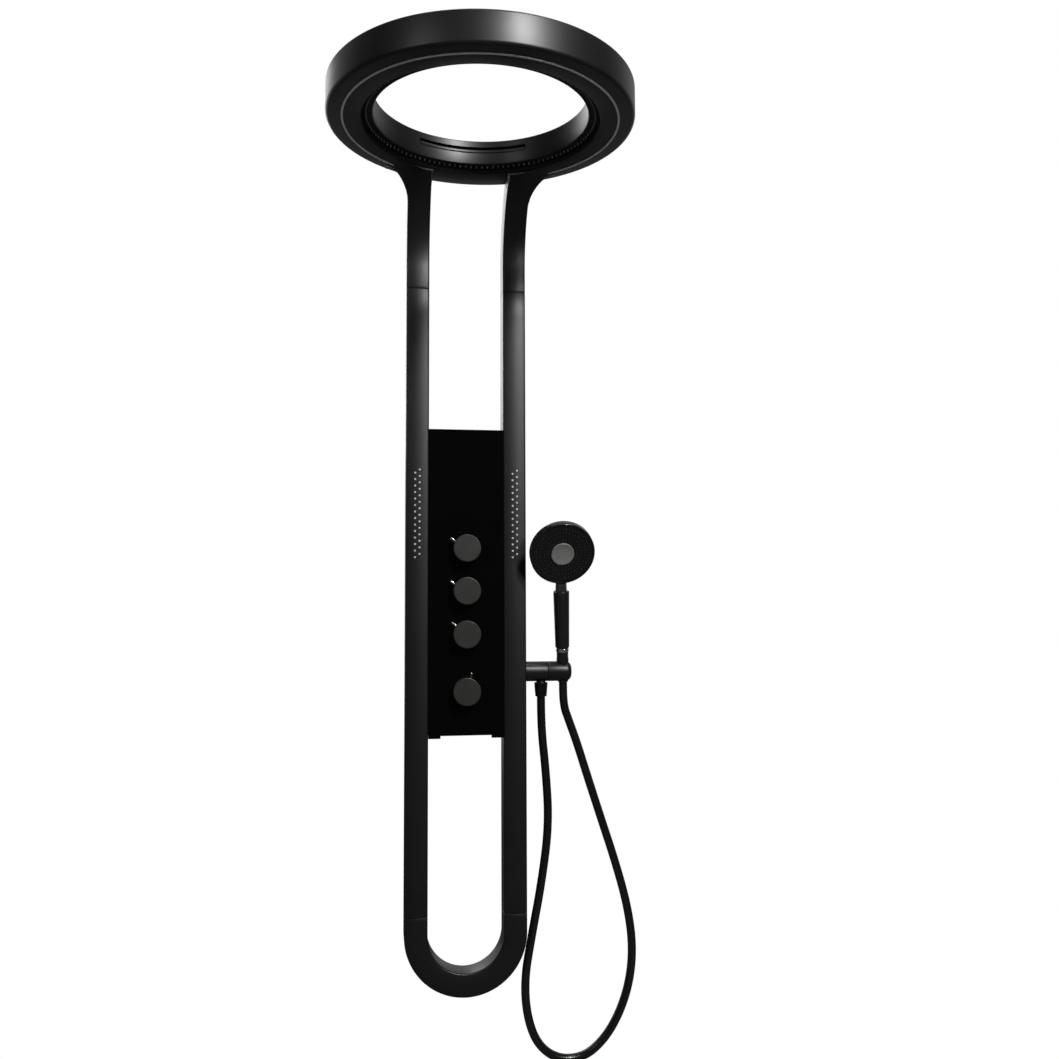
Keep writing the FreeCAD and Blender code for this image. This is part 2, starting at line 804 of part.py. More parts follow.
def valve_body():
    bar = block(-valve_half_width, valve_half_width, valve_front, housing_floor, valve_bottom, valve_top)
    bosses = [across(boss_r - seat, 0, z, valve_front - boss_height, valve_front) for _, z, _ in knobs]
    bores = [across(cartridge_r + seat, 0, z, valve_front - overrun, cartridge_back + seat) for _, z, _ in knobs]
    for side, z in ((-1, rain_knob_z), (1, cascade_knob_z)):
        start = Vector(side * cartridge_r, riser_y, z)
        bores.append(rod(riser_r - riser_wall, start, start + x_axis * (side * valve_half_width)))
    return bar.fuse(bosses).cut(bores)


def valve_cartridges():
    pieces = []
    for _, z, _ in knobs:
        barrel = across(cartridge_r, 0, z, cartridge_front, cartridge_back)
        hole = across(spindle_r + running, 0, z, cartridge_front - overrun, cartridge_front + spindle_depth + seat)
        pieces.append(barrel.cut(hole))
    return Part.makeCompound(pieces)


def cartridge_nuts():
    pieces = []
    high = valve_front - boss_height
    for _, z, _ in knobs:
        corners = []
        for corner in range(6):
            turn = math.radians(60 * corner)
            corners.append(Vector(nut_r * math.cos(turn), high - nut_height, z + nut_r * math.sin(turn)))
        hexagon = Part.Face(Part.makePolygon(corners + corners[:1])).extrude(y_axis * nut_height)
        pieces.append(hexagon.cut(across(cartridge_r + seat, 0, z, high - overrun, high + overrun)))
    return Part.makeCompound(pieces)


def spindle_seals():
    pieces = []
    middle = (glass_front + glass_back) / 2
    for _, z, _ in knobs:
        rubber = across(glass_hole_r - seat, 0, z, middle - seal_height / 2, middle + seal_height / 2)
        pieces.append(rubber.cut(across(spindle_r + seal_gap, 0, z, glass_front - overrun, glass_back + overrun)))
    return Part.makeCompound(pieces)


def knob(z, lever_deg):
    body = across(knob_r, 0, z, knob_face, knob_back)
    rim = [edge for edge in body.Edges if abs(edge.BoundBox.YMax - knob_face) < tick]
    body = body.makeFillet(knob_edge, rim)
    hole = across(spindle_r + running, 0, z, spindle_tip - seat, knob_back + overrun)
    start, end = lever_ends(z, lever_deg)
    return body.cut([hole, rod(lever_r + running, start - (end - start) * (seat / lever_tip), end)])


def lever_ends(z, lever_deg):
    turn = math.radians(lever_deg)
    outward = Vector(math.cos(turn), 0, math.sin(turn))
    middle = Vector(0, (knob_face + knob_back) / 2, z)
    return middle + outward * lever_inner, middle + outward * lever_tip


def lever(z, lever_deg):
    start, end = lever_ends(z, lever_deg)
    pin = rod(lever_r, start, end)
    tip = [edge for edge in pin.Edges if (edge.CenterOfMass - end).Length < tick]
    return pin.makeFillet(lever_round, tip)


def spindle(z):
    return across(spindle_r, 0, z, spindle_tip, cartridge_front + spindle_depth)


def water_inlets():
    pieces = []
    wall_end = -inlet_wall_gap
    for side in (-1, 1):
        x = side * inlet_x
        z = temperature_knob_z
        elbow = across(inlet_body_r, x, z, inlet_y - inlet_branch_r, wall_end - inlet_length)
        nipple = across(inlet_thread_r, x, z, wall_end - inlet_length, wall_end)
        branch = rod(inlet_branch_r, Vector(side * (valve_half_width + seat), inlet_y, z), Vector(x, inlet_y, z))
        bore = across(inlet_bore_r, x, z, inlet_y, wall_end + overrun)
        pieces.append(elbow.fuse([nipple, branch]).cut(bore))
    return Part.makeCompound(pieces)


def check_valves():
    pieces = []
    high = -inlet_wall_gap - seat
    for side in (-1, 1):
        pieces.append(across(inlet_bore_r - seat, side * inlet_x, temperature_knob_z, high - check_valve_length, high))
    return Part.makeCompound(pieces)


def jet_pipes():
    return Part.makeCompound([pipe(jet_route(side), [pipe_bend], jet_pipe_r, riser_wall) for side in (-1, 1)])


def handset_pipe():
    start = Vector(valve_half_width + seat, holder_y, holder_z)
    end = Vector(column_width / 2 - outlet_shank - seat, holder_y, holder_z)
    return rod(riser_r, start, end).cut(rod(riser_r - riser_wall, start - x_axis * overrun, end + x_axis * overrun))


def jet_blocks():
    pieces = []
    half = jet_mat_half_width
    for side in (-1, 1):
        x = side * rail_x
        body = block(x - half, x + half, jet_mat_back, jet_block_back, jet_mat_low, jet_mat_high)
        room = block(x - half + jet_block_wall, x + half - jet_block_wall, jet_mat_back - overrun,
                     jet_block_back - jet_block_wall, jet_mat_low + jet_block_wall, jet_mat_high - jet_block_wall)
        feed = Vector(x, jet_pipe_y, jet_mat_low - overrun)
        inlet = rod(jet_pipe_r - riser_wall, feed, feed + z_axis * (2 * overrun))
        pieces.append(body.cut([room, inlet]))
    return Part.makeCompound(pieces)


def body_jets():
    pieces = []
    half = jet_mat_half_width
    for side in (-1, 1):
        x = side * rail_x
        mat = block(x - half, x + half, jet_mat_front, jet_mat_back, jet_mat_low, jet_mat_high)
        nozzles = [across(jet_r, jet_x, z, front_y - jet_proud, jet_mat_front) for jet_x, z in jet_places(side)]
        pieces.append(mat.fuse(nozzles))
    return Part.makeCompound(pieces)


def handset_outlet():
    start = Vector(column_width / 2, holder_y, holder_z)
    seam = Vector(holder_seam_x, holder_y, holder_z)
    body = rod(holder_r, start, seam)
    shank = rod(outlet_shank_r, start - x_axis * outlet_shank, start)
    journal = rod(journal_r, seam, seam + x_axis * (holder_seam_gap + journal_length))
    nipple_top = Vector(hose_x, holder_y, holder_z)
    nipple_end = Vector(hose_x, holder_y, holder_z - holder_r - nipple_length)
    nipple = rod(nipple_r, nipple_top, nipple_end)
    way_in = rod(outlet_bore_r, start - x_axis * (outlet_shank + overrun), nipple_top)
    way_out = rod(hose_bore_r, nipple_top, nipple_end - z_axis * overrun)
    return body.fuse([shank, journal, nipple]).cut([way_in, way_out])


def outlet_nut():
    end = Vector(column_width / 2 - rail_wall, holder_y, holder_z)
    start = end - x_axis * outlet_nut_height
    return rod(outlet_nut_r, start, end).cut(rod(outlet_shank_r + seat, start - x_axis * overrun, end + x_axis * overrun))


def hose_nut():
    top = holder_z - holder_r - hose_nut_gap
    low = top - hose_nut_length
    base = Vector(hose_x, holder_y, low)
    body = Part.makeCone(hose_nut_bottom_r, hose_nut_top_r, hose_nut_length, base)
    nipple_end = holder_z - holder_r - nipple_length
    socket = Part.makeCylinder(nipple_r + seat, top - nipple_end + overrun, Vector(hose_x, holder_y, nipple_end - seat))
    return body.cut([socket, Part.makeCylinder(hose_bore_r, hose_nut_length, base)])


def cone_radius(z):
    return cone_low_r + (cone_high_r - cone_low_r) * (z - cone_low) / (cone_high - cone_low)


def holder_swivel():
    start = Vector(holder_seam_x + holder_seam_gap, holder_y, holder_z)
    end = Vector(holder_end_x, holder_y, holder_z)
    body = rod(holder_r, start, end)
    rim = [edge for edge in body.Edges if abs(edge.BoundBox.XMin - holder_end_x) < tick]
    body = body.makeFillet(holder_end_round, rim)
    reach = holder_r + overrun
    socket = Part.makeCone(cone_radius(-reach) + moving_gap, cone_radius(reach) + moving_gap, 2 * reach,
                           Vector(0, 0, -reach))
    slot = block(-slot_width / 2, slot_width / 2, 0, reach + overrun, -reach, reach)
    hole = rod(journal_r + running, start, start + x_axis * (journal_length + seat))
    return body.cut([on_handset(socket.fuse(slot)), hole])


def hose_cone():
    outline = [
        (hose_bore_r, cone_low), (cone_low_r, cone_low), (cone_high_r, cone_high),
        (cone_neck_r, cone_high + cone_step), (cone_neck_r, cone_top), (hose_bore_r, cone_top),
    ]
    return on_handset(turned(outline))


def hose_tail():
    return on_handset(Part.makeCylinder(hose_r, tail_length, Vector(0, 0, cone_low - tail_length)))


def hose_end():
    # Where the hose stops, just short of its tail, and the direction in which it gets there
    low = Vector(0, 0, cone_low - tail_length - tail_gap)
    point = Part.Vertex(low)
    return on_handset(point).Point


def shower_hose():
    route = [Vector(*place) for place in hose_route] + [hose_end()]
    runs = [(after - before).Length for before, after in zip(route, route[1:])]
    radii = []
    for index in range(1, len(route) - 1):
        back = route[index - 1] - route[index]
        ahead = route[index + 1] - route[index]
        half_turn = (math.pi - back.getAngle(ahead)) / 2
        radii.append(hose_run_share * min(runs[index - 1], runs[index]) / math.tan(half_turn))
    path = bent_path(route, radii)
    tube = swept(path, route[0], route[1] - route[0], hose_r)
    section = math.pi * hose_r ** 2
    print("hose bend radii", [round(radius) for radius in radii])
    print("hose runs", [round(run) for run in runs])
    print("hose length %.1f, volume over section times length %.4f" % (path.Length, tube.Volume / section / path.Length))
    return tube


def end_ring():
    outline = [
        (core_r + seat, end_ring_low), (end_ring_r, end_ring_low), (end_ring_r, end_ring_high),
        (core_r + seat, end_ring_high),
    ]
    ring = turned(outline)
    rims = [edge for edge in ring.Edges if edge.BoundBox.XMax > end_ring_r - tick and edge.BoundBox.ZLength < tick]
    return on_handset(ring.makeFillet(grip_round / 2, rims))


def grip():
    outline = [
        (core_r + seat, grip_low), (grip_low_r, grip_low), (grip_high_r, grip_high), (core_r + seat, grip_high),
    ]
    body = turned(outline)
    rims = [edge for edge in body.Edges if edge.BoundBox.XMax > grip_low_r - tick and edge.BoundBox.ZLength < tick]
    return on_handset(body.makeFillet(grip_round, rims))


def collar():
    outline = [
        (core_r + seat, collar_low), (collar_low_r, collar_low), (collar_high_r, collar_high),
        (core_r + seat, collar_high),
    ]
    return on_handset(turned(outline))


def core_tube():
    base = Vector(0, 0, end_ring_low)
    outer = Part.makeCylinder(core_r, core_high - end_ring_low, base)
    return on_handset(outer.cut(Part.makeCylinder(core_bore_r, core_high - end_ring_low, base)))


def head_rim():
    inner = head_r - head_rim_width
    outline = [(inner, -head_rim_proud), (head_r, -head_rim_proud), (head_r, head_rim_depth), (inner, head_rim_depth)]
    ring = turned(outline)
    rims = [edge for edge in ring.Edges if edge.BoundBox.XMax > head_r - tick and edge.BoundBox.ZLength < tick]
    return on_head(ring.makeFillet(head_rim_round, rims))


def spray_places():
    places = []
    for radius, count in spray_rings:
        for index in range(count):
            turn = 2 * math.pi * index / count
            places.append(Vector(radius * math.cos(turn), radius * math.sin(turn), 0))
    return places


def spray_plate():
    plate_r = head_r - head_rim_width - seat
    back = spray_plate_depth + spray_plate_thickness
    base = Vector(0, 0, spray_plate_depth)
    plate = Part.makeCylinder(plate_r, spray_plate_thickness, base)
    plate = plate.cut(Part.makeCylinder(button_r + moving_gap, back + overrun, -z_axis * overrun))
    holes = [Part.makeCylinder(spray_nozzle_r + seat, back + overrun, place - z_axis * overrun)
             for place in spray_places()]
    return on_head(plate.cut(holes))


def spray_mat():
    low = spray_plate_depth + spray_plate_thickness
    high = low + spray_mat_thickness
    inner_r = button_r + 2 * moving_gap
    plate_r = head_r - head_rim_width - seat
    mat = turned([(inner_r, low), (plate_r, low), (plate_r, high), (inner_r, high)])
    length = spray_plate_thickness + spray_nozzle_proud
    nozzles = [Part.makeCylinder(spray_nozzle_r, length, place + z_axis * (low - length)) for place in spray_places()]
    return on_head(mat.fuse(nozzles))


def button():
    body = Part.makeCylinder(button_r, button_depth, -z_axis * button_proud)
    rim = [edge for edge in body.Edges if edge.BoundBox.ZMax < tick and edge.BoundBox.ZLength < tick]
    return on_head(body.makeFillet(button_round, rim))


def selector():
    # The disc behind the button that turns the flow to the spray rings
    low = selector_depth
    body = Part.makeCylinder(selector_r, selector_thickness, z_axis * low)
    return on_head(body)


def button_spring():
    # A silicone bellows at its pressed length, from the pressed button to the selector
    low = button_depth - button_proud + button_travel + seat
    fold = (selector_depth - seat - low) / (2 * spring_folds)
    outside = []
    inside = []
    for index in range(2 * spring_folds + 1):
        radius = spring_crest_r if index % 2 else spring_valley_r
        outside.append((radius, low + index * fold))
        inside.append((radius - spring_wall, low + index * fold))
    return on_head(turned(outside + inside[::-1]))


def handset_back():
    wall = head_shell_wall
    front = head_rim_depth + seat

    def dome(inset):
        rim_r = head_dome_r - inset
        mid_r = head_dome_mid_r - inset / 2
        points = [Vector(0, 0, front), Vector(rim_r, 0, front), Vector(mid_r, 0, head_dome_mid_depth - inset),
                  Vector(head_dome_flat_r, 0, head_dome_depth - inset), Vector(0, 0, head_dome_depth - inset)]
        bulge = Vector(rim_r, 0, front) * 0.5 + Vector(mid_r, 0, head_dome_mid_depth - inset) * 0.5
        bulge = bulge + Vector(1, 0, 1) * (wall / 2)
        crown = points[2] * 0.5 + points[3] * 0.5 + z_axis * (wall / 3)
        edges = [
            Part.LineSegment(points[0], points[1]).toShape(),
            Part.Arc(points[1], bulge, points[2]).toShape(),
            Part.Arc(points[2], crown, points[3]).toShape(),
            Part.LineSegment(points[3], points[4]).toShape(),
            Part.LineSegment(points[4], points[0]).toShape(),
        ]
        return Part.Face(Part.Wire(edges)).revolve(Vector(), z_axis, 360)
    outer = on_head(dome(0))
    inner = on_head(dome(wall))
    rim_space = on_head(Part.makeCylinder(head_r + moving_gap, front + head_r, -z_axis * head_r))
    stub = on_handset(Part.makeCylinder(stub_r, stub_reach, Vector(0, 0, collar_high + seat)))
    bore = on_handset(Part.makeCylinder(core_bore_r, stub_reach + overrun, Vector(0, 0, collar_high)))
    return outer.fuse(stub.cut(rim_space)).cut([inner, bore])


def all_parts():
    parts = {
        "left_rail": rail(-1),
        "right_rail": rail(1),
        "bottom_bend": bottom_bend(),
        "rail_connectors": Part.makeCompound([connector(side, z) for side in (-1, 1)
                                              for z in (foot_seam_z, head_seam_z)]),
        "left_neck": neck(-1),
        "right_neck": neck(1),
        "ring_shell": ring_shell(),
        "ring_face": ring_face(),
        "trim_ring": trim_ring(),
        "nozzle_strip": nozzle_strip(),
        "inner_sleeve": inner_sleeve(),
        "cascade_lip": cascade_lip(),
        "rain_chamber": rain_chamber(),
        "cascade_chamber": cascade_chamber(),
        "riser_pipes": Part.makeCompound([riser(-1, rain_knob_z, 0), riser(1, cascade_knob_z, 0)]),
        "glass_panel": glass_panel(),
        "panel_gasket": panel_gasket(),
        "panel_housing": panel_housing(),
        "wall_bracket": wall_bracket(),
        "rail_screws": rail_screws(),
        "valve_body": valve_body(),
        "valve_cartridges": valve_cartridges(),
        "cartridge_nuts": cartridge_nuts(),
        "spindle_seals": spindle_seals(),
        "water_inlets": water_inlets(),
        "check_valves": check_valves(),
        "jet_pipes": jet_pipes(),
        "handset_pipe": handset_pipe(),
        "jet_blocks": jet_blocks(),
        "body_jets": body_jets(),
        "handset_outlet": handset_outlet(),
        "outlet_nut": outlet_nut(),
        "holder_swivel": holder_swivel(),
        "hose_nut": hose_nut(),
        "shower_hose": shower_hose(),
        "hose_tail": hose_tail(),
        "hose_cone": hose_cone(),
        "end_ring": end_ring(),
        "grip": grip(),
        "collar": collar(),
        "core_tube": core_tube(),
        "handset_back": handset_back(),
        "head_rim": head_rim(),
        "spray_plate": spray_plate(),
        "spray_mat": spray_mat(),
        "spray_button": button(),
        "spray_selector": selector(),
        "button_spring": button_spring(),
    }
    for name, z, lever_deg in knobs:
        parts[name + "_knob"] = knob(z, lever_deg)
        parts[name + "_lever"] = lever(z, lever_deg)
        parts[name + "_spindle"] = spindle(z)
    return parts


for node, shape in all_parts().items():
    shape.exportStep("parts/%s.step" % node)
    print("%-20s solids %3d volume %12.1f valid %s" % (node, len(shape.Solids), shape.Volume, shape.isValid()))
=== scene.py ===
import math

import bmesh
import bpy
from mathutils import Matrix, Vector


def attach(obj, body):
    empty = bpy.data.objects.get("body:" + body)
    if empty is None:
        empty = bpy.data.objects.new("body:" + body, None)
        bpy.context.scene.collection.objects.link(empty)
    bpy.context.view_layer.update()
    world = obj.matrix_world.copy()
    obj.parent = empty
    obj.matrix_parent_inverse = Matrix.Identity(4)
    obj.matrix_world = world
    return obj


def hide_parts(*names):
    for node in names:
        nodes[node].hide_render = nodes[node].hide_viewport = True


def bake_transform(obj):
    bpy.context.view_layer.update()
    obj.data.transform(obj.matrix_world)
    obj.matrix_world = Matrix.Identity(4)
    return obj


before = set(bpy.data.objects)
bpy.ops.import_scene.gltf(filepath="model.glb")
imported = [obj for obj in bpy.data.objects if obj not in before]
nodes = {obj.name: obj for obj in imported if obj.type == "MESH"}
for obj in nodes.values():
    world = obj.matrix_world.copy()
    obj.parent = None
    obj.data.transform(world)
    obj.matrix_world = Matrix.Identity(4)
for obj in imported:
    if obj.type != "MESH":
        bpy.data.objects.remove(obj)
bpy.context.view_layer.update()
print("frame loaded")


# Camera, at the photograph's place: metres and degrees, lens and sensor in millimetres

cameraView = {
    "place": (-0.14363, -1.76825, -0.0333),
    "yaw": 8.237,
    "pitch": 3.993,
    "roll": -0.228,
    "lens": 35.47,
    "sensor": 36.0,
}


def aimCamera(view):
    yaw = math.radians(view["yaw"])
    pitch = math.radians(view["pitch"])
    roll = math.radians(view["roll"])
    ahead = Vector((math.sin(yaw) * math.cos(pitch), math.cos(yaw) * math.cos(pitch), math.sin(pitch)))
    level = Vector((math.cos(yaw), -math.sin(yaw), 0))
    upward = level.cross(ahead)
    right = math.cos(roll) * level + math.sin(roll) * upward
    top = math.cos(roll) * upward - math.sin(roll) * level
    turn = Matrix((right, top, -ahead)).transposed().to_euler()
    bpy.ops.object.camera_add(location=view["place"], rotation=turn)
    camera = bpy.context.object
    camera.data.lens = view["lens"]
    camera.data.sensor_width = view["sensor"]
    bpy.context.scene.camera = camera


aimCamera(cameraView)
print("camera placed")


# Picking one piece for the operators that follow

def clearSelection():
    if bpy.context.object and bpy.context.object.mode != "OBJECT":
        bpy.ops.object.mode_set(mode="OBJECT")
    bpy.ops.object.select_all(action="DESELECT")


def pick(piece):
    clearSelection()
    piece.select_set(True)
    bpy.context.view_layer.objects.active = piece


# Hose: it leaves its nut on the right rail, hangs in one long loop and comes back up to the hand shower

hose = {
    "radius": 0.007,
    "sides": 28,
    "steps": 14,
    "smoothAngle": 40,
    "route": [
        (0.127, -0.025, -0.1905),
        (0.1268, -0.025, -0.24),
        (0.1345, -0.0248, -0.312),
        (0.1395, -0.0246, -0.4),
        (0.1275, -0.0242, -0.492),
        (0.109, -0.0238, -0.586),
        (0.0975, -0.0234, -0.652),
        (0.1015, -0.023, -0.71),
        (0.1185, -0.0224, -0.7565),
        (0.1526, -0.0216, -0.7825),
        (0.1954, -0.0208, -0.7825),
        (0.2305, -0.02, -0.757),
        (0.2575, -0.0194, -0.716),
        (0.276, -0.0189, -0.664),
        (0.2818, -0.0184, -0.606),
        (0.273, -0.0179, -0.54),
        (0.2525, -0.017, -0.466),
        (0.229, -0.0155, -0.394),
        (0.206, -0.014, -0.322),
        (0.19, -0.0124, -0.27),
        (0.1768, -0.011, -0.233),
        (0.1674, -0.0116, -0.2069),
        (0.16612, -0.01718, -0.18256),
    ],
    "tailTop": (0.16524, -0.02096, -0.16622),
    "riseFrom": 18,
    "holdFrom": (0.1674, -0.0116, -0.1969),
}


def routeCurve(name, points, radius):
    curve = bpy.data.curves.new(name, "CURVE")
    curve.dimensions = "3D"
    spline = curve.splines.new("NURBS")
    spline.points.add(len(points) - 1)
    for spot, place in zip(spline.points, points):
        spot.co = (*place, 1)
    spline.order_u = 3
    spline.use_endpoint_u = True
    curve.resolution_u = hose["steps"]
    curve.bevel_depth = radius
    curve.bevel_resolution = hose["sides"] // 4 - 1
    curve.use_fill_caps = radius > 0
    piece = bpy.data.objects.new(name, curve)
    bpy.context.scene.collection.objects.link(piece)
    return piece


def tubeMesh(name, points):
    # The centre line is read from the same spline, with no thickness
    line = routeCurve(name + "Line", points, 0)
    centre = bpy.data.meshes.new_from_object(line)
    path = [tuple(vertex.co) for vertex in centre.vertices]
    thick = routeCurve(name + "Thick", points, hose["radius"])
    bpy.context.view_layer.update()
    mesh = bpy.data.meshes.new_from_object(thick.evaluated_get(bpy.context.evaluated_depsgraph_get()))
    for helper in (line, thick):
        bpy.data.objects.remove(helper)
    piece = bpy.data.objects.new(name, mesh)
    bpy.context.scene.collection.objects.link(piece)
    pick(piece)
    bpy.ops.object.shade_smooth_by_angle(angle=math.radians(hose["smoothAngle"]))
    return piece, path


def splitRoute(look):
    # The last stretch, which follows the holder, is a piece of its own; a spline of this order meets its
    # control line halfway between two points, so the two pieces keep one smooth run
    route, index = look["route"], look["riseFrom"]
    meeting = tuple((before + after) / 2 for before, after in zip(route[index - 1], route[index]))
    return route[:index] + [meeting], [meeting] + route[index:]


loopRoute, riseRoute = splitRoute(hose)
hosePiece, hosePath = tubeMesh("hose", loopRoute)
risePiece, risePath = tubeMesh("hoseRise", riseRoute)
tailPiece, _ = tubeMesh("hoseTail", [hose["route"][-1], hose["tailTop"]])
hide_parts("shower_hose")
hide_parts("shower_hose")
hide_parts("hose_tail")
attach(hosePiece, "root")
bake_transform(risePiece)
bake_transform(tailPiece)
print("hose laid")


# Materials: a wrapped socket takes plain arithmetic, and one method adds any other node

class Signal:
    def __init__(self, tree, socket):
        self.tree = tree
        self.socket = socket

    def worked(self, operation, first, second):
        made = self.tree.nodes.new("ShaderNodeMath")
        made.operation = operation
        for place, value in zip(made.inputs, (first, second)):
            feed(self.tree, place, value)
        return Signal(self.tree, made.outputs[0])

    def __add__(self, other):
        return self.worked("ADD", self, other)

    def __radd__(self, other):
        return self.worked("ADD", other, self)

    def __sub__(self, other):
        return self.worked("SUBTRACT", self, other)

    def __rsub__(self, other):
        return self.worked("SUBTRACT", other, self)

    def __mul__(self, other):
        return self.worked("MULTIPLY", self, other)


def feed(tree, place, value):
    if isinstance(value, Signal):
        tree.links.new(value.socket, place)
    else:
        place.default_value = value


class Finish:
    def __init__(self, name, world=False):
        self.owner = (bpy.data.worlds if world else bpy.data.materials).new(name)
        self.owner.use_nodes = True
        self.tree = self.owner.node_tree
        self.tree.nodes.clear()
        if world:
            bpy.context.scene.world = self.owner

    def node(self, kind, settings=None, inputs=None, output=0):
        made = self.tree.nodes.new("ShaderNode" + kind)
        for name, value in (settings or {}).items():
            setattr(made, name, value)
        for name, value in (inputs or {}).items():
            feed(self.tree, made.inputs[name], value)
        return Signal(self.tree, made.outputs[output]) if made.outputs else None

    def done(self, surface):
        isWorld = self.owner == bpy.context.scene.world
        self.node("OutputWorld" if isWorld else "OutputMaterial", inputs={"Surface": surface})
        return self.owner


# Every finish has these, unless its own row says otherwise
usualFinish = {"swing": 0.08, "depth": 0.00002, "specular": 0.5, "metallic": 0}

finishes = {
    "satinBlack": {
        "colour": (0.0036, 0.0038, 0.0038), "worn": (0.0052, 0.0054, 0.0054), "roughness": 0.39,
        "cloud": 9, "grain": 900, "depth": 0.00003,
    },
    "panelGlass": {
        "colour": (0.0012, 0.0016, 0.0013), "worn": (0.0018, 0.0020, 0.0018), "roughness": 0.05,
        "swing": 0.05, "cloud": 14, "grain": 60, "depth": 0.000002, "specular": 0.25,
    },
    "knobGrey": {
        "colour": (0.046, 0.046, 0.043), "worn": (0.062, 0.062, 0.058), "roughness": 0.36,
        "swing": 0.06, "cloud": 50, "grain": 2600, "metallic": 0.6,
    },
    "trimSilver": {
        "colour": (0.86, 0.86, 0.84), "worn": (0.92, 0.92, 0.90), "roughness": 0.38,
        "swing": 0.06, "cloud": 30, "grain": 1500, "depth": 0.00001, "metallic": 0.25,
    },
    "chrome": {
        "colour": (0.78, 0.78, 0.77), "worn": (0.72, 0.72, 0.71), "roughness": 0.10,
        "swing": 0.05, "cloud": 60, "grain": 600, "depth": 0.000003, "metallic": 1,
    },
    "ringFacePaint": {
        "colour": (0.0036, 0.0038, 0.0038), "worn": (0.0052, 0.0054, 0.0054), "roughness": 0.42,
        "cloud": 9, "grain": 900, "depth": 0.00003, "specular": 0.28,
    },
    "nozzleTip": {
        "colour": (0.40, 0.40, 0.38), "worn": (0.30, 0.30, 0.28), "roughness": 0.5,
        "cloud": 200, "grain": 3000, "depth": 0.00001, "specular": 0.4,
    },
    "jetGrey": {
        "colour": (0.70, 0.70, 0.66), "worn": (0.60, 0.60, 0.56), "roughness": 0.5,
        "cloud": 200, "grain": 3000, "specular": 0.4,
    },
    "blackGloss": {
        "colour": (0.0045, 0.0045, 0.0045), "worn": (0.0065, 0.0065, 0.0065), "roughness": 0.17,
        "swing": 0.06, "cloud": 25, "grain": 500, "depth": 0.00001,
    },
    "gripBlack": {
        "colour": (0.007, 0.007, 0.007), "worn": (0.010, 0.010, 0.010), "roughness": 0.34,
        "cloud": 40, "grain": 1800, "depth": 0.00003,
    },
    "softBlack": {
        "colour": (0.010, 0.010, 0.010), "worn": (0.016, 0.016, 0.016), "roughness": 0.7,
        "swing": 0.1, "cloud": 60, "grain": 2200, "depth": 0.00004, "specular": 0.3,
    },
    "hoseBlack": {
        "colour": (0.0050, 0.0050, 0.0052), "worn": (0.0075, 0.0075, 0.0075), "roughness": 0.24,
        "swing": 0.07, "cloud": 30, "grain": 320,
    },
    "sprayFace": {
        "colour": (0.0045, 0.0045, 0.0045), "worn": (0.0065, 0.0065, 0.0065), "roughness": 0.22,
        "swing": 0.06, "cloud": 40, "grain": 900, "depth": 0.00001, "specular": 0.4,
    },
    "sprayTip": {
        "colour": (0.014, 0.014, 0.014), "worn": (0.022, 0.022, 0.022), "roughness": 0.45,
        "cloud": 200, "grain": 3000, "depth": 0.00001, "specular": 0.4,
    },
    "buttonGrey": {
        "colour": (0.21, 0.21, 0.20), "worn": (0.26, 0.26, 0.25), "roughness": 0.40,
        "swing": 0.06, "cloud": 50, "grain": 2600, "metallic": 0.3,
    },
    "steel": {
        "colour": (0.50, 0.50, 0.49), "worn": (0.58, 0.58, 0.57), "roughness": 0.36,
        "swing": 0.1, "cloud": 25, "grain": 700, "metallic": 1,
    },
    "brass": {
        "colour": (0.62, 0.43, 0.19), "worn": (0.72, 0.54, 0.28), "roughness": 0.34,
        "swing": 0.1, "cloud": 40, "grain": 900, "metallic": 1,
    },
    "whitePlastic": {
        "colour": (0.74, 0.74, 0.71), "worn": (0.66, 0.66, 0.63), "roughness": 0.45,
        "swing": 0.1, "cloud": 30, "grain": 1500, "depth": 0.00003,
    },
}


wear = {
    "middle": 0.5,
    "grainShare": 0.5,
    "reliefStrength": 0.6,
    # detail of the two noises
    "cloud": 4,
    "grain": 2,
}


def makeFinish(name, look):
    # A slow cloud shifts colour and gloss a little, and a fine grain roughens them
    finish = Finish(name)
    place = finish.node("TexCoord", output=3)
    cloud, grain = (
        finish.node("TexNoise", inputs={"Vector": place, "Scale": look[part], "Detail": wear[part]})
        for part in ("cloud", "grain")
    )
    shades = {0: cloud, 6: (*look["colour"], 1), 7: (*look["worn"], 1)}
    colour = finish.node("Mix", {"data_type": "RGBA"}, shades, output=2)
    slowly = (cloud - wear["middle"]) * look["swing"]
    finely = (grain - wear["middle"]) * (look["swing"] * wear["grainShare"])
    rough = look["roughness"] + slowly + finely
    relief = finish.node("Bump", inputs={
        "Height": grain, "Distance": look["depth"], "Strength": wear["reliefStrength"],
    })
    surface = finish.node("BsdfPrincipled", inputs={
        "Base Color": colour, "Roughness": rough, "Normal": relief,
        "Metallic": look["metallic"], "Specular IOR Level": look["specular"],
    })
    return finish.done(surface)


materials = {name: makeFinish(name, {**usualFinish, **look}) for name, look in finishes.items()}
print("materials made")


def dress(piece, finish):
    piece.data.materials.clear()
    piece.data.materials.append(materials[finish])


for stretch in (hosePiece, risePiece, tailPiece):
    dress(stretch, "hoseBlack")

# CAD nodes that are kept as they come; new pieces, dressed where they are made, stand for the others

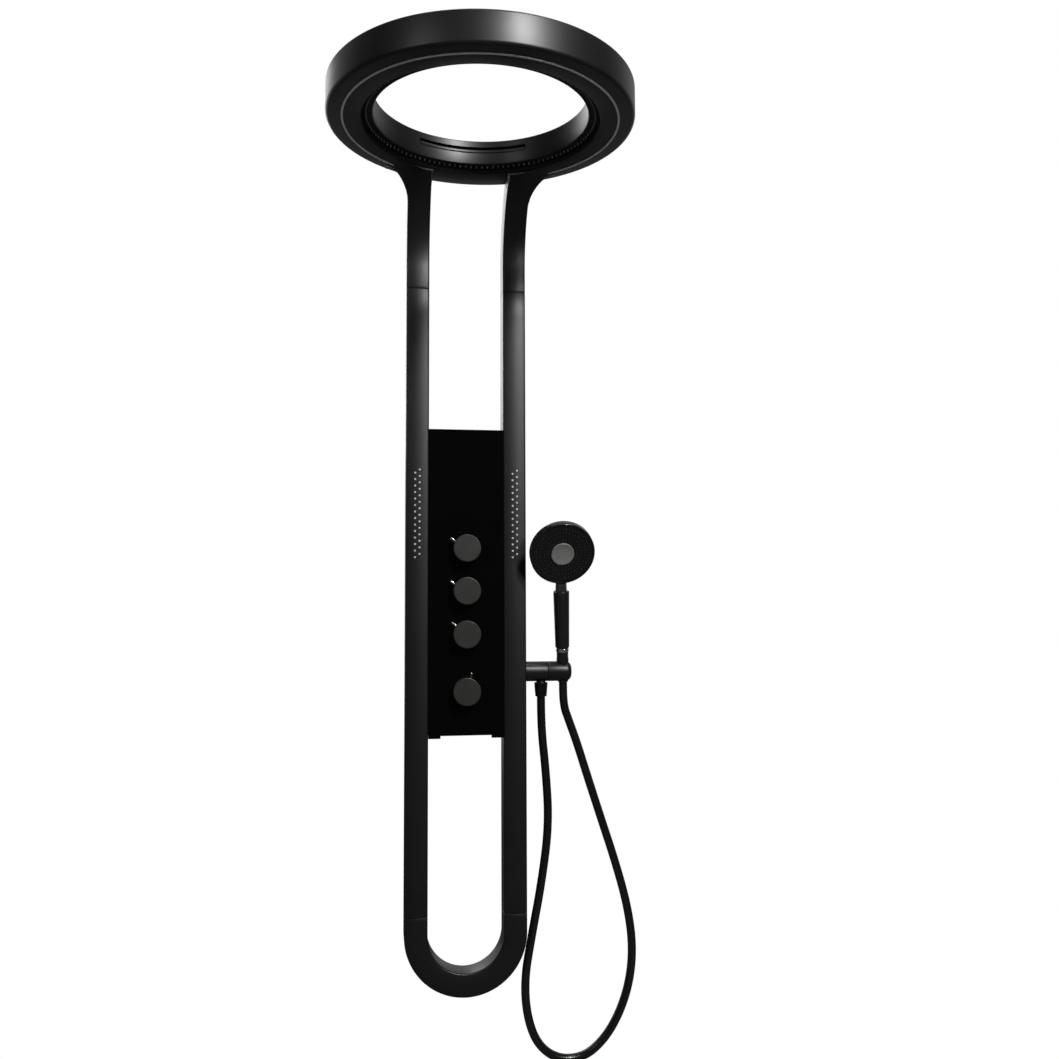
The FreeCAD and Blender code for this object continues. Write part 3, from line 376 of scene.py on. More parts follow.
cadFinishes = {
    "panelGlass": ["glass_panel"],
    "softBlack": ["rail_connectors", "panel_gasket", "spindle_seals", "cascade_chamber"],
    "steel": ["riser_pipes", "panel_housing", "wall_bracket", "rail_screws", "jet_pipes", "handset_pipe",
              "button_spring"],
    "brass": ["valve_body", "cartridge_nuts", "water_inlets", "outlet_nut", "rain_spindle",
              "cascade_spindle", "diverter_spindle", "temperature_spindle"],
    "whitePlastic": ["rain_chamber", "valve_cartridges", "check_valves", "jet_blocks", "core_tube",
                     "spray_selector"],
}
for finish, names in cadFinishes.items():
    for name in names:
        dress(nodes[name], finish)
print("CAD nodes dressed")


# Modelling: each piece starts as a primitive and is shaped in edit mode

close = 0.00002
weld = 0.000005
smoothAngle = 35


def startEdit(piece):
    pick(piece)
    bpy.ops.object.mode_set(mode="EDIT")
    bpy.ops.mesh.select_mode(type="VERT")


def selectPoints(piece, test):
    bpy.ops.mesh.select_all(action="DESELECT")
    shape = bmesh.from_edit_mesh(piece.data)
    for point in shape.verts:
        point.select_set(test(point.co))
    shape.select_flush_mode()
    bmesh.update_edit_mesh(piece.data)


def startLoop(name, radius, height, sides):
    clearSelection()
    bpy.ops.mesh.primitive_circle_add(vertices=sides, radius=radius, location=(0, 0, 0))
    piece = bpy.context.object
    piece.name = name
    bpy.ops.object.mode_set(mode="EDIT")
    bpy.ops.mesh.select_mode(type="VERT")
    bpy.ops.mesh.select_all(action="SELECT")
    bpy.ops.transform.translate(value=(0, 0, height))
    return piece


def startFace(name, spots):
    # The loop's points are put in their places, and it is filled
    piece = startLoop(name, 1, 0, len(spots))
    shape = bmesh.from_edit_mesh(piece.data)
    for point, spot in zip(shape.verts, spots):
        point.co = spot
    bmesh.update_edit_mesh(piece.data)
    bpy.ops.mesh.select_all(action="SELECT")
    bpy.ops.mesh.edge_face_add()
    return piece


def sealPiece():
    bpy.ops.mesh.select_all(action="SELECT")
    bpy.ops.mesh.remove_doubles(threshold=weld)
    bpy.ops.mesh.normals_make_consistent(inside=False)
    bpy.ops.object.mode_set(mode="OBJECT")


def turnedPiece(name, outline, sides):
    # A loop is extruded and resized along an outline of (radius, height); an open one is closed at its poles
    radius, height = outline[0]
    piece = startLoop(name, radius, height, sides)
    isRing = outline[0] == outline[-1]
    if not isRing:
        bpy.ops.mesh.extrude_region_move()
        bpy.ops.mesh.merge(type="CENTER")
        selectPoints(piece, lambda spot: spot.xy.length > radius - close)
    for nextRadius, nextHeight in outline[1:]:
        bpy.ops.mesh.extrude_region_move(TRANSFORM_OT_translate={"value": (0, 0, nextHeight - height)})
        share = nextRadius / radius
        bpy.ops.transform.resize(value=(share, share, 1), center_override=(0, 0, nextHeight))
        radius, height = nextRadius, nextHeight
    if not isRing:
        bpy.ops.mesh.extrude_region_move()
        bpy.ops.mesh.merge(type="CENTER")
    sealPiece()
    return piece


def bevelWhere(piece, test, width, segments):
    # Bevels the edges whose ends pass the test
    startEdit(piece)
    bpy.ops.mesh.select_mode(type="EDGE")
    bpy.ops.mesh.select_all(action="DESELECT")
    shape = bmesh.from_edit_mesh(piece.data)
    for edge in shape.edges:
        edge.select_set(test([spot.co for spot in edge.verts]))
    bmesh.update_edit_mesh(piece.data)
    bpy.ops.mesh.bevel(offset=width, segments=segments, affect="EDGES")
    bpy.ops.object.mode_set(mode="OBJECT")


def roundRims(piece, rims, width, segments=3):
    # Bevels the round edges found at each (radius, height)
    def isRim(ends, radius, height):
        return all(abs(spot.xy.length - radius) < close and abs(spot.z - height) < close for spot in ends)

    bevelWhere(piece, lambda ends: any(isRim(ends, *rim) for rim in rims), width, segments)


def bevelEnds(piece, heights, width):
    # Softens the outline of a flat end, so that the joint beside it reads as a fine groove
    def isEnd(ends, height):
        return all(abs(spot.z - height) < close for spot in ends)

    bevelWhere(piece, lambda ends: any(isEnd(ends, height) for height in heights), width, segments=2)


def settle(piece, matrix=None, angle=smoothAngle):
    # Takes the piece to its place, writes that into its mesh, and smooths it up to an angle
    pick(piece)
    if matrix:
        piece.matrix_world = matrix @ piece.matrix_world
    bpy.ops.object.transform_apply(location=True, rotation=True, scale=True)
    bpy.ops.object.shade_smooth_by_angle(angle=math.radians(angle))
    return piece


def finishPiece(piece, finish, body, stands=()):
    dress(piece, finish)
    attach(piece, body)
    if stands:
        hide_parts(*stands)
    return piece


def joinPieces(pieces, name):
    clearSelection()
    for piece in pieces:
        piece.select_set(True)
    bpy.context.view_layer.objects.active = pieces[0]
    bpy.ops.object.join()
    pieces[0].name = name
    return pieces[0]


def copiesOf(master, name, matrices):
    # One modelled piece, repeated at its places and joined
    made = []
    for matrix in matrices:
        twin = master.copy()
        twin.data = master.data.copy()
        twin.matrix_world = matrix
        bpy.context.scene.collection.objects.link(twin)
        made.append(twin)
    joined = joinPieces(made, name)
    bpy.data.objects.remove(master)
    return joined


def carve(piece, cutter):
    # Takes the cutter's space out of the piece
    clearSelection()
    bpy.context.view_layer.objects.active = piece
    cut = piece.modifiers.new("cut", "BOOLEAN")
    cut.operation = "DIFFERENCE"
    cut.object = cutter
    cut.solver = "EXACT"
    bpy.ops.object.modifier_apply(modifier=cut.name)
    bpy.data.objects.remove(cutter)


def turnBy(degrees, axis):
    return Matrix.Rotation(math.radians(degrees), 4, axis)


def fourCorners(inner, outer, low, high):
    return [(inner, low), (outer, low), (outer, high), (inner, high)]


def flatRing(name, inner, outer, low, high, sides):
    corners = fourCorners(inner, outer, low, high)
    return turnedPiece(name, corners + corners[:1], sides)


# Rail section: the outline that rails, foot bend and necks share, seen from above

rail = {
    "half": 0.019,
    "back": -0.001,
    "shoulder": -0.0445,
    "crest": -0.046,
    "corner": 0.003,
    "cornerSteps": 4,
    "frontSteps": 12,
    "middle": 0.081,
    "seam": 0.0003,
    "seamBevel": 0.0006,
    "footSeam": -0.5389,
    "headSeam": 0.4918,
    "railSteps": 24,
    "bendHeight": -0.5682,
    "bendSteps": 96,
    "footSteps": 4,
}


def railOutline(look):
    corner, steps = look["corner"], look["cornerSteps"]
    side, back, front = look["half"] - corner, look["back"] - corner, look["shoulder"] + corner
    points = []

    def turnCorner(x, y, quarter):
        for step in range(steps + 1):
            angle = math.radians(90) * (quarter + step / steps)
            points.append((x + corner * math.cos(angle), y + corner * math.sin(angle)))

    turnCorner(side, back, 0)
    turnCorner(-side, back, 1)
    turnCorner(-side, front, 2)
    for step in range(1, look["frontSteps"]):
        x = -side + 2 * side * step / look["frontSteps"]
        bow = 1 - (x / side) ** 2
        points.append((x, look["shoulder"] + (look["crest"] - look["shoulder"]) * bow))
    turnCorner(side, front, 3)
    return points


def startRail(name, look, middle, height):
    return startFace(name, [(middle + x, y, height) for x, y in railOutline(look)])


def straightRun(length, steps):
    for _ in range(steps):
        bpy.ops.mesh.extrude_region_move(TRANSFORM_OT_translate={"value": (0, 0, length / steps)})


def makeRail(name, side, look):
    low = look["footSeam"] + look["seam"]
    high = look["headSeam"] - look["seam"]
    piece = startRail(name, look, side * look["middle"], low)
    straightRun(high - low, look["railSteps"])
    sealPiece()
    bevelEnds(piece, [low, high], look["seamBevel"])
    return settle(piece)


def makeFootBend(look):
    top = look["footSeam"] - look["seam"]
    piece = startRail("footBend", look, look["middle"], top)
    straightRun(look["bendHeight"] - top, look["footSteps"])
    bpy.ops.mesh.spin(steps=look["bendSteps"], angle=-math.pi, center=(0, 0, look["bendHeight"]),
                      axis=(0, 1, 0))
    straightRun(top - look["bendHeight"], look["footSteps"])
    sealPiece()
    bevelEnds(piece, [top], look["seamBevel"])
    return settle(piece)


def footBendAndRails(look):
    for name, side in (("leftRail", -1), ("rightRail", 1)):
        node = "left_rail" if side < 0 else "right_rail"
        finishPiece(makeRail(name, side, look), "satinBlack", "root", [node])
    finishPiece(makeFootBend(look), "satinBlack", "root", ["bottom_bend"])


footBendAndRails(rail)
print("rails and foot bend made")


# Necks: the rails carried on, bent forward and flared into the ring head

neck = {
    "rise": 0.5305,
    "centre": -0.175,
    "riseSteps": 8,
    "bendSteps": 72,
    "bendAngle": 82.0,
    "ringMiddle": -0.301,
    "ringRadius": 0.223,
    "ringWall": 0.0018,
    "ringUnderside": 0.6595,
    "tipRadius": 0.1752,
    "outerFillet": 0.070,
    "outerUnder": 0.036,
    "innerFillet": 0.005,
    "innerUnder": 0.005,
    "blend": 0.004,
    "lift": 0.0004,
    "deepestShare": 0.9,
    "smoothAngle": 40,
}


def planSpread(look, edge, outward, fillet, y):
    # How far a neck's side stands out at a depth, on the fillet between it and the ring's wall
    middleX = edge + outward * fillet
    middleY = look["ringMiddle"] + math.sqrt((look["ringRadius"] + fillet) ** 2 - middleX ** 2)
    if y >= middleY:
        return 0.0
    drop = min(middleY - y, fillet * look["deepestShare"])
    return fillet - math.sqrt(fillet ** 2 - drop ** 2)


def underSpread(look, under, z):
    rise = min(max(z - (look["ringUnderside"] - under), 0.0), under)
    return under - math.sqrt(under ** 2 - rise ** 2)


def softLeast(first, second, soft):
    share = max(soft - abs(first - second), 0.0) / soft
    return min(first, second) - share * share * soft / 4


def makeNeck(name, side, look, section):
    low = section["headSeam"] + section["seam"]
    piece = startRail(name, section, side * section["middle"], low)
    straightRun(look["rise"] - low, look["riseSteps"])
    bpy.ops.mesh.spin(steps=look["bendSteps"], angle=-math.radians(look["bendAngle"]),
                      center=(0, look["centre"], look["rise"]), axis=(1, 0, 0))
    bpy.ops.mesh.select_all(action="SELECT")
    bpy.ops.mesh.remove_doubles(threshold=weld)
    shape = bmesh.from_edit_mesh(piece.data)
    middle = side * section["middle"]
    edges = (
        (side * (section["middle"] + section["half"]), side, look["outerFillet"], look["outerUnder"]),
        (side * (section["middle"] - section["half"]), -side, look["innerFillet"], look["innerUnder"]),
    )
    for point in shape.verts:
        x, y, z = point.co
        for edge, outward, fillet, under in edges:
            share = (x - middle) / (edge - middle)
            if share <= 0:
                continue
            spread = planSpread(look, edge, outward, fillet, y)
            reach = underSpread(look, under, z) if z < look["ringUnderside"] else spread
            allowed = max(softLeast(spread, reach, look["blend"]), 0.0)
            point.co.x += outward * allowed * share ** 3
        fromRing = math.hypot(point.co.x, point.co.y - look["ringMiddle"])
        if fromRing < look["ringRadius"] - look["ringWall"]:
            point.co.z = min(point.co.z, look["ringUnderside"] + look["lift"])
        if fromRing < look["tipRadius"]:
            point.co.y = look["ringMiddle"] + math.sqrt(look["tipRadius"] ** 2 - point.co.x ** 2)
    bmesh.update_edit_mesh(piece.data)
    sealPiece()
    bevelEnds(piece, [low], section["seamBevel"])
    return settle(piece, angle=look["smoothAngle"])


for neckName, neckNode, neckSide in (("leftNeck", "left_neck", -1), ("rightNeck", "right_neck", 1)):
    finishPiece(makeNeck(neckName, neckSide, neck, rail), "satinBlack", "root", [neckNode])
print("necks made")


# Ring head: shell, underside plate, light line, nozzle strip, sleeve and lip

ringHead = {
    "middle": (0.0, -0.301, 0.0),
    "sides": 256,
    "low": 0.6595,
    "high": 0.7055,
    "outer": 0.223,
    "bore": 0.156,
    "wall": 0.0025,
    "lowRound": 0.005,
    "topRound": 0.0035,
    "edge": 0.0008,
    "trimInner": 0.1980,
    "trimOuter": 0.2010,
    "trimProud": 0.0010,
    "trimGap": 0.0001,
    "trimDegrees": 24.0,
    "channel": 0.173,
    "channelEdge": 0.0014,
    "liner": 0.0006,
    "linerRise": 0.0015,
    "lip": 0.002,
    "matLow": 0.6685,
    "matHigh": 0.6705,
    "sleeve": 0.1585,
    "sleeveLow": 0.668,
    "slotLow": 0.6857,
    "slotHigh": 0.6957,
    "slotDegrees": 32.3,
    "slotRound": 0.0022,
    "sameAngle": 0.001,
    "lipDegrees": 31.9,
    "lipFront": 0.1564,
    "lipBack": 0.167,
    "lipLow": 0.6867,
    "lipHigh": 0.6917,
    "lipRound": 0.001,
    "lipSteps": 48,
}


onRing = Matrix.Translation(ringHead["middle"])


def makeRingShell(look):
    low, high, wall = look["low"], look["high"], look["wall"]
    outer, bore, start = look["outer"], look["bore"], look["trimOuter"] + look["trimGap"]
    outline = [
        (start, low), (outer, low), (outer, high), (bore, high), (bore, high - wall),
        (outer - wall, high - wall), (outer - wall, low + wall), (start, low + wall), (start, low),
    ]
    piece = turnedPiece("ringShell", outline, look["sides"])
    roundRims(piece, [(outer, low)], look["lowRound"], segments=8)
    roundRims(piece, [(outer, high)], look["topRound"], segments=6)
    roundRims(piece, [(bore, high)], look["edge"])
    return settle(piece, onRing)


def makeRingFace(look):
    low, wall, high = look["low"], look["wall"], look["matHigh"]
    outer, channel = look["trimInner"] - look["trimGap"], look["channel"]
    lip = channel + look["lip"]
    outline = [
        (channel, low), (outer, low), (outer, low + wall), (lip, low + wall), (lip, high), (channel, high),
        (channel, low),
    ]
    piece = turnedPiece("ringFace", outline, look["sides"])
    roundRims(piece, [(channel, low)], look["channelEdge"])
    return settle(piece, onRing)


def sweptBar(name, corners, start, reach, steps):
    # A four-cornered bar swept round the ring's axis; angles are degrees from the wall's side
    first = math.radians(start)
    spots = [(radius * math.sin(first), radius * math.cos(first), height) for radius, height in corners]
    piece = startFace(name, spots)
    bpy.ops.mesh.spin(steps=steps, angle=math.radians(reach), center=(0, 0, 0), axis=(0, 0, 1))
    sealPiece()
    return piece


def makeTrimLine(look):
    # The bright line runs round the front, and a black strip fills its groove between the necks
    low, high, gap = look["low"] - look["trimProud"], look["low"] + look["wall"], look["trimDegrees"]
    corners = fourCorners(look["trimInner"], look["trimOuter"], low, high)
    piece = sweptBar("trimLine", corners, gap, 360 - 2 * gap, look["sides"])
    roundRims(piece, corners[:2], look["edge"] / 2, segments=2)
    return settle(piece, onRing)


def makeTrimFiller(look):
    gap = look["trimDegrees"]
    corners = fourCorners(look["trimInner"], look["trimOuter"], look["low"], look["low"] + look["wall"])
    return settle(sweptBar("trimFiller", corners, -gap, 2 * gap, look["lipSteps"]), onRing)


def makeSleeve(look):
    inner, outer = look["bore"], look["sleeve"]
    heights = [look["sleeveLow"], look["slotLow"], look["slotHigh"], look["high"] - look["wall"]]
    outline = [(inner, height) for height in heights] + [(outer, height) for height in reversed(heights)]
    piece = turnedPiece("innerSleeve", outline + outline[:1], look["sides"])
    roundRims(piece, [(inner, look["sleeveLow"]), (outer, look["sleeveLow"])], look["edge"])
    # The cascade slot is opened on the wall's side, its walls are bridged and its corners rounded
    startEdit(piece)
    bpy.ops.mesh.select_mode(type="FACE")
    bpy.ops.mesh.select_all(action="DESELECT")
    shape = bmesh.from_edit_mesh(piece.data)
    for face in shape.faces:
        spot = face.calc_center_median()
        turn = math.degrees(math.atan2(spot.x, spot.y))
        face.select_set(abs(turn) < look["slotDegrees"] and look["slotLow"] < spot.z < look["slotHigh"])
    bmesh.update_edit_mesh(piece.data)
    bpy.ops.mesh.delete(type="FACE")
    bpy.ops.mesh.select_mode(type="EDGE")
    bpy.ops.mesh.select_non_manifold()
    bpy.ops.mesh.bridge_edge_loops()
    shape = bmesh.from_edit_mesh(piece.data)
    found = [edge.verts[0].co for edge in shape.edges if edge.select]
    reach = max(abs(math.atan2(spot.x, spot.y)) for spot in found)
    for edge in shape.edges:
        spots = [spot.co for spot in edge.verts]
        isCorner = all(abs(abs(math.atan2(spot.x, spot.y)) - reach) < look["sameAngle"] for spot in spots)
        isAcross = abs(spots[0].xy.length - spots[1].xy.length) > look["edge"] * 2
        heights = (look["slotLow"], look["slotHigh"])
        inBand = all(min(abs(spot.z - height) for height in heights) < close for spot in spots)
        edge.select_set(isCorner and isAcross and inBand)
    bmesh.update_edit_mesh(piece.data)
    bpy.ops.mesh.bevel(offset=look["slotRound"], segments=4, affect="EDGES")
    sealPiece()
    return settle(piece, onRing)


def makeLip(look):
    # A bar with rounded edges, swept along the slot
    corners = fourCorners(look["lipFront"], look["lipBack"], look["lipLow"], look["lipHigh"])
    piece = sweptBar("cascadeLip", corners, -look["lipDegrees"], 2 * look["lipDegrees"], look["lipSteps"])
    roundRims(piece, corners[:1] + corners[3:], look["lipRound"])
    return settle(piece, onRing)


def makeNozzleMat(look):
    # The strip between sleeve and plate, with a thin liner down the channel's outer wall
    inner, outer = look["sleeve"] + look["trimGap"], look["channel"] - look["trimGap"]
    low, high, liner = look["matLow"], look["matHigh"], outer - look["liner"]
    linerLow = look["low"] + look["linerRise"]
    outline = [
        (inner, low), (liner, low), (liner, linerLow), (outer, linerLow), (outer, high), (inner, high),
        (inner, low),
    ]
    return settle(turnedPiece("nozzleMat", outline, look["sides"]), onRing)


finishPiece(makeRingShell(ringHead), "satinBlack", "root", ["ring_shell"])
finishPiece(makeRingFace(ringHead), "ringFacePaint", "root", ["ring_face"])
finishPiece(makeTrimLine(ringHead), "trimSilver", "root", ["trim_ring"])
finishPiece(makeTrimFiller(ringHead), "ringFacePaint", "root")
finishPiece(makeSleeve(ringHead), "satinBlack", "root", ["inner_sleeve"])
finishPiece(makeLip(ringHead), "satinBlack", "root", ["cascade_lip"])
finishPiece(makeNozzleMat(ringHead), "softBlack", "root", ["nozzle_strip"])
print("ring head made")


# Nozzles: the ring's silicone tips, each a small cone with its water hole

nozzle = {
    "count": 120,
    "circle": 0.166,
    "top": 0.6686,
    "length": 0.0033,
    "rootRadius": 0.0012,
    "tipRadius": 0.00096,
    "holeRadius": 0.0004,
    "holeDepth": 0.0008,
    "sides": 12,
}


def makeRingNozzles(look, ring):
    low, hole = look["top"] - look["length"], look["holeRadius"]
    outline = [(hole, low + look["holeDepth"]), (hole, low), (look["tipRadius"], low),
               (look["rootRadius"], look["top"] + look["holeDepth"] / 2)]
    master = turnedPiece("nozzleMaster", outline, look["sides"])
    places = []
    for index in range(look["count"]):
        turn = 2 * math.pi * index / look["count"]
        spot = Vector(ring["middle"]) + Vector((math.cos(turn), math.sin(turn), 0)) * look["circle"]
        places.append(Matrix.Translation(spot))
    return settle(copiesOf(master, "ringNozzles", places))


finishPiece(makeRingNozzles(nozzle, ringHead), "nozzleTip", "root")
print("ring nozzles made")


# Body jets: small rounded nozzles with their water holes, in two staggered rows on each rail

jet = {
    "rows": 14,
    "pitch": 0.01075,
    "firstHeight": 0.0414,
    "offset": 0.0037,
    "surface": -0.0457,
    "radius": 0.0016,
    "proud": 0.0013,
    "shoulderShare": 0.7,
    "tipShare": 0.8,
    "sink": 0.0006,
    "holeRadius": 0.0006,
    "holeDepth": 0.0007,
    "sides": 20,
}


def makeBodyJets(look, section):
    # Turned upright with its tip at the top, then laid down to point away from the wall
    radius, proud, hole = look["radius"], look["proud"], look["holeRadius"]
    outline = [(radius, -look["sink"]), (radius, proud * look["shoulderShare"]),
               (radius * look["tipShare"], proud), (hole, proud), (hole, proud - look["holeDepth"])]
    master = turnedPiece("jetMaster", outline, look["sides"])
    places = []
    for side in (-1, 1):
        for row in range(look["rows"]):
            height = look["firstHeight"] + row * look["pitch"]
            for offset, lift in ((-look["offset"], 0), (look["offset"], look["pitch"] / 2)):
                spot = Vector((side * section["middle"] + offset, look["surface"], height + lift))
                places.append(Matrix.Translation(spot) @ turnBy(90, "X"))
    return settle(copiesOf(master, "bodyJets", places))


finishPiece(makeBodyJets(jet, rail), "jetGrey", "root", ["body_jets"])
print("body jets made")


# Knobs and their lever pins: turned upright, then laid down; a pin points outwards from its knob's side

knob = {
    "radius": 0.0225,
    "back": -0.0449,
    "height": 0.0216,
    "edge": 0.0009,
    "grooveRadius": 0.0207,
    "grooveWidth": 0.0003,
    "grooveDepth": 0.0002,
    "footInset": 0.0006,
    "sides": 96,
    "places": {"rain": 0.0558, "cascade": -0.0142, "diverter": -0.0852, "temperature": -0.1782},
    "leverDegrees": {"rain": 148.0, "cascade": 149.0, "diverter": 141.0, "temperature": 75.0},
    "leverRadius": 0.002,
    "leverInner": 0.020,
    "leverTip": 0.032,
    "leverSides": 24,
    # radius and length, from the knob outwards
    "leverShares": [(0.9, 0.0), (1.0, 0.1), (1.0, 0.82), (0.86, 0.94), (0.5, 1.0)],
}


def makeKnob(name, look):
    radius, high, foot = look["radius"], look["height"], look["footInset"]
    groove, wide, deep = look["grooveRadius"], look["grooveWidth"], look["grooveDepth"]
    outline = [(radius - foot, 0), (radius, foot), (radius, high), (groove + wide, high),
               (groove + wide / 2, high - deep), (groove, high), (groove / 2, high)]
    piece = turnedPiece(name + "Knob", outline, look["sides"])
    roundRims(piece, [(radius, high)], look["edge"], segments=4)
    spot = Matrix.Translation((0, look["back"], look["places"][name]))
    return settle(piece, spot @ turnBy(90, "X"))


def makeLever(name, look):
    length = look["leverTip"] - look["leverInner"]
    radius = look["leverRadius"]
    outline = [(radius * wide, length * along) for wide, along in look["leverShares"]]
    piece = turnedPiece(name + "Lever", outline, look["leverSides"])
    turn = math.radians(look["leverDegrees"][name])
    outward = Vector((math.cos(turn), 0, math.sin(turn)))
    middle = Vector((0, look["back"] - look["height"] / 2, look["places"][name]))
    place = Matrix.Translation(middle + outward * look["leverInner"])
    return settle(piece, place @ outward.to_track_quat("Z", "Y").to_matrix().to_4x4())


for control in knob["places"]:
    body = control + "_control"
    finishPiece(makeKnob(control, knob), "knobGrey", body, [control + "_knob"])
    finishPiece(makeLever(control, knob), "chrome", body, [control + "_lever"])
print("knobs made")


# Holder: the outlet on the right rail, the hose nut below it, and the swivel with the hand shower's socket

holder = {
    "railSide": (0.1, -0.025, -0.1487),
    "radius": 0.0165,
    "outletLength": 0.037,
    "seam": 0.0004,
    "length": 0.078,
    "edge": 0.0006,
    "endRound": 0.009,
    "endRoundSteps": 12,
    "nippleX": 0.127,
    "nippleRadius": 0.0078,
    "nippleLength": 0.0285,
    "nutTop": -0.167,
    "nutLength": 0.0232,
    "nutTopRadius": 0.0114,
    "nutLowRadius": 0.0096,
    "nutRound": 0.0008,
    "nutGroove": 0.0004,
    "nutGrooveShares": (0.86, 0.14),
    "slotWidth": 0.0156,
    "reach": 0.0185,
    "clearance": 0.0003,
    "sides": 96,
}

# Hand shower: its own axis runs up the handle, and the head's own axis runs back into the head

hand = {
    "place": (0.1643, -0.025, -0.1487),
    "tilt": 13.0,
    "lean": -3.0,
    "headPlace": (0.0, -0.022, 0.204),
    "headTilt": 14.0,
    "coneLow": -0.018,
    "coneHigh": 0.022,
    "coneLowRadius": 0.0087,
    "coneHighRadius": 0.0103,
    "coneNeckRadius": 0.0098,
    "coneStep": 0.002,
    "coneEndShare": 0.94,
    "coneChamfer": 0.0006,
    "coneTop": 0.0342,
    "endRing": (0.0108, 0.0344, 0.0414),
    "grip": ((0.0117, 0.0416), (0.0134, 0.1375)),
    "gripRound": 0.0012,
    "collar": ((0.0104, 0.1377), (0.0094, 0.151)),
    "collarBead": 0.0005,
    "stub": (0.0093, 0.15105, 0.169),
    "stubSides": 64,
    "rim": 0.0535,
    "rimWidth": 0.003,
    "rimProud": 0.0005,
    "rimDepth": 0.014,
    "rimRound": 0.0014,
    "plateDepth": 0.0008,
    "plateThickness": 0.0025,
    "matThickness": 0.0012,
    "buttonRadius": 0.019,
    "buttonProud": 0.0015,
    "buttonDepth": 0.0055,
    "buttonRound": 0.0008,
    "buttonDish": 0.0003,
    "buttonLandShare": 0.88,
    "buttonStepShare": 0.84,
    "buttonMiddleShare": 0.4,
    "buttonGap": 0.0003,
    "rings": ((0.0235, 28), (0.0305, 36), (0.0375, 44), (0.044, 52)),
    "nozzleRadius": 0.0009,
    "nozzleProud": 0.0007,
    "nozzleHole": 0.0004,
    "nozzleSides": 10,
    "nozzleTipShare": 0.8,
    "nozzleShoulderShare": 0.3,
    "dome": ((0.052, 0.01405), (0.034, 0.0215), (0.008, 0.0245)),
    "domeBulge": (0.0011, 0.0007),
    "domeSteps": 8,
    "seat": 0.00005,
    "sides": 128,
}

onHandset = Matrix.Translation(hand["place"]) @ turnBy(hand["tilt"], "X") @ turnBy(hand["lean"], "Y")
onHead = onHandset @ Matrix.Translation(hand["headPlace"]) @ turnBy(hand["headTilt"] - 90, "X")
alongHolder = turnBy(90, "Y")


def makeOutlet(look):
    radius, length = look["radius"], look["outletLength"]
    body = turnedPiece("outletBody", [(radius, 0), (radius, length)], look["sides"])
    roundRims(body, [(radius, length)], look["edge"])
    settle(body, Matrix.Translation(look["railSide"]) @ alongHolder)
    x, y, z = look["railSide"]
    bore = look["nippleRadius"]
    nipple = turnedPiece("outletNipple", [(bore, -look["nippleLength"]), (bore, 0)], look["sides"] // 2)
    settle(nipple, Matrix.Translation((look["nippleX"], y, z)))
    return joinPieces([body, nipple], "handsetOutlet")


def coneRadius(look, height):
    share = (height - look["coneLow"]) / (look["coneHigh"] - look["coneLow"])
    return look["coneLowRadius"] + (look["coneHighRadius"] - look["coneLowRadius"]) * share


def makeSwivel(look, shower):
    radius, low, high = look["radius"], look["outletLength"] + look["seam"], look["length"]
    piece = turnedPiece("holderSwivel", [(radius, low), (radius, high)], look["sides"])
    roundRims(piece, [(radius, high)], look["endRound"], look["endRoundSteps"])
    roundRims(piece, [(radius, low)], look["edge"])
    settle(piece, Matrix.Translation(look["railSide"]) @ alongHolder)
    reach, gap = look["reach"], look["clearance"]
    bore = [(coneRadius(shower, height) + gap, height) for height in (-reach, reach)]
    socket = turnedPiece("socket", bore, look["sides"])
    settle(socket, onHandset)
    clearSelection()
    bpy.ops.mesh.primitive_cube_add(size=1, location=(0, reach, 0))
    slotSpace = bpy.context.object
    slotSize = (look["slotWidth"], 2 * reach, 2 * reach)
    bpy.ops.transform.resize(value=slotSize, center_override=(0, reach, 0))
    settle(slotSpace, onHandset)
    carve(piece, socket)
    carve(piece, slotSpace)
    startEdit(piece)
    sealPiece()
    return settle(piece)


def makeHoseNut(look):
    x, y, z = look["nippleX"], look["railSide"][1], look["nutTop"] - look["nutLength"]
    low, high, groove = look["nutLowRadius"], look["nutTopRadius"], look["nutGroove"]
    rise = look["nutLength"]

    def width(height):
        return low + (high - low) * height / rise

    outline = [(low, 0), (high, rise)]
    for share in look["nutGrooveShares"]:
        height = rise * share
        cut = [(width(height - groove), height - groove), (width(height) - groove, height),
               (width(height + groove), height + groove)]
        outline[1:1] = cut
    piece = turnedPiece("hoseNut", outline, look["sides"])
    roundRims(piece, [(low, 0), (high, rise)], look["nutRound"])
    return settle(piece, Matrix.Translation((x, y, z)))


finishPiece(makeOutlet(holder), "satinBlack", "root", ["handset_outlet"])
finishPiece(makeSwivel(holder, hand), "satinBlack", "holder", ["holder_swivel"])
nutPiece = finishPiece(makeHoseNut(holder), "blackGloss", "root", ["hose_nut"])
print("holder made")


def makeCone(look):
    low, high, throat = look["coneLow"], look["coneHigh"], look["coneNeckRadius"]
    shoulder = low + look["coneChamfer"]
    outline = [(look["coneLowRadius"] * look["coneEndShare"], low), (coneRadius(look, shoulder), shoulder),
               (look["coneHighRadius"], high), (throat, high + look["coneStep"]), (throat, look["coneTop"])]
    return settle(turnedPiece("hoseCone", outline, look["sides"]), onHandset)


def makeEndRing(look):
    radius, low, high = look["endRing"]
    piece = turnedPiece("endRing", [(radius, low), (radius, high)], look["sides"])
    roundRims(piece, [(radius, low), (radius, high)], look["gripRound"] / 2, segments=4)
    return settle(piece, onHandset)


def makeGrip(look):
    ends = list(look["grip"])
    piece = turnedPiece("grip", ends, look["sides"])
    roundRims(piece, ends, look["gripRound"], segments=4)
    return settle(piece, onHandset)


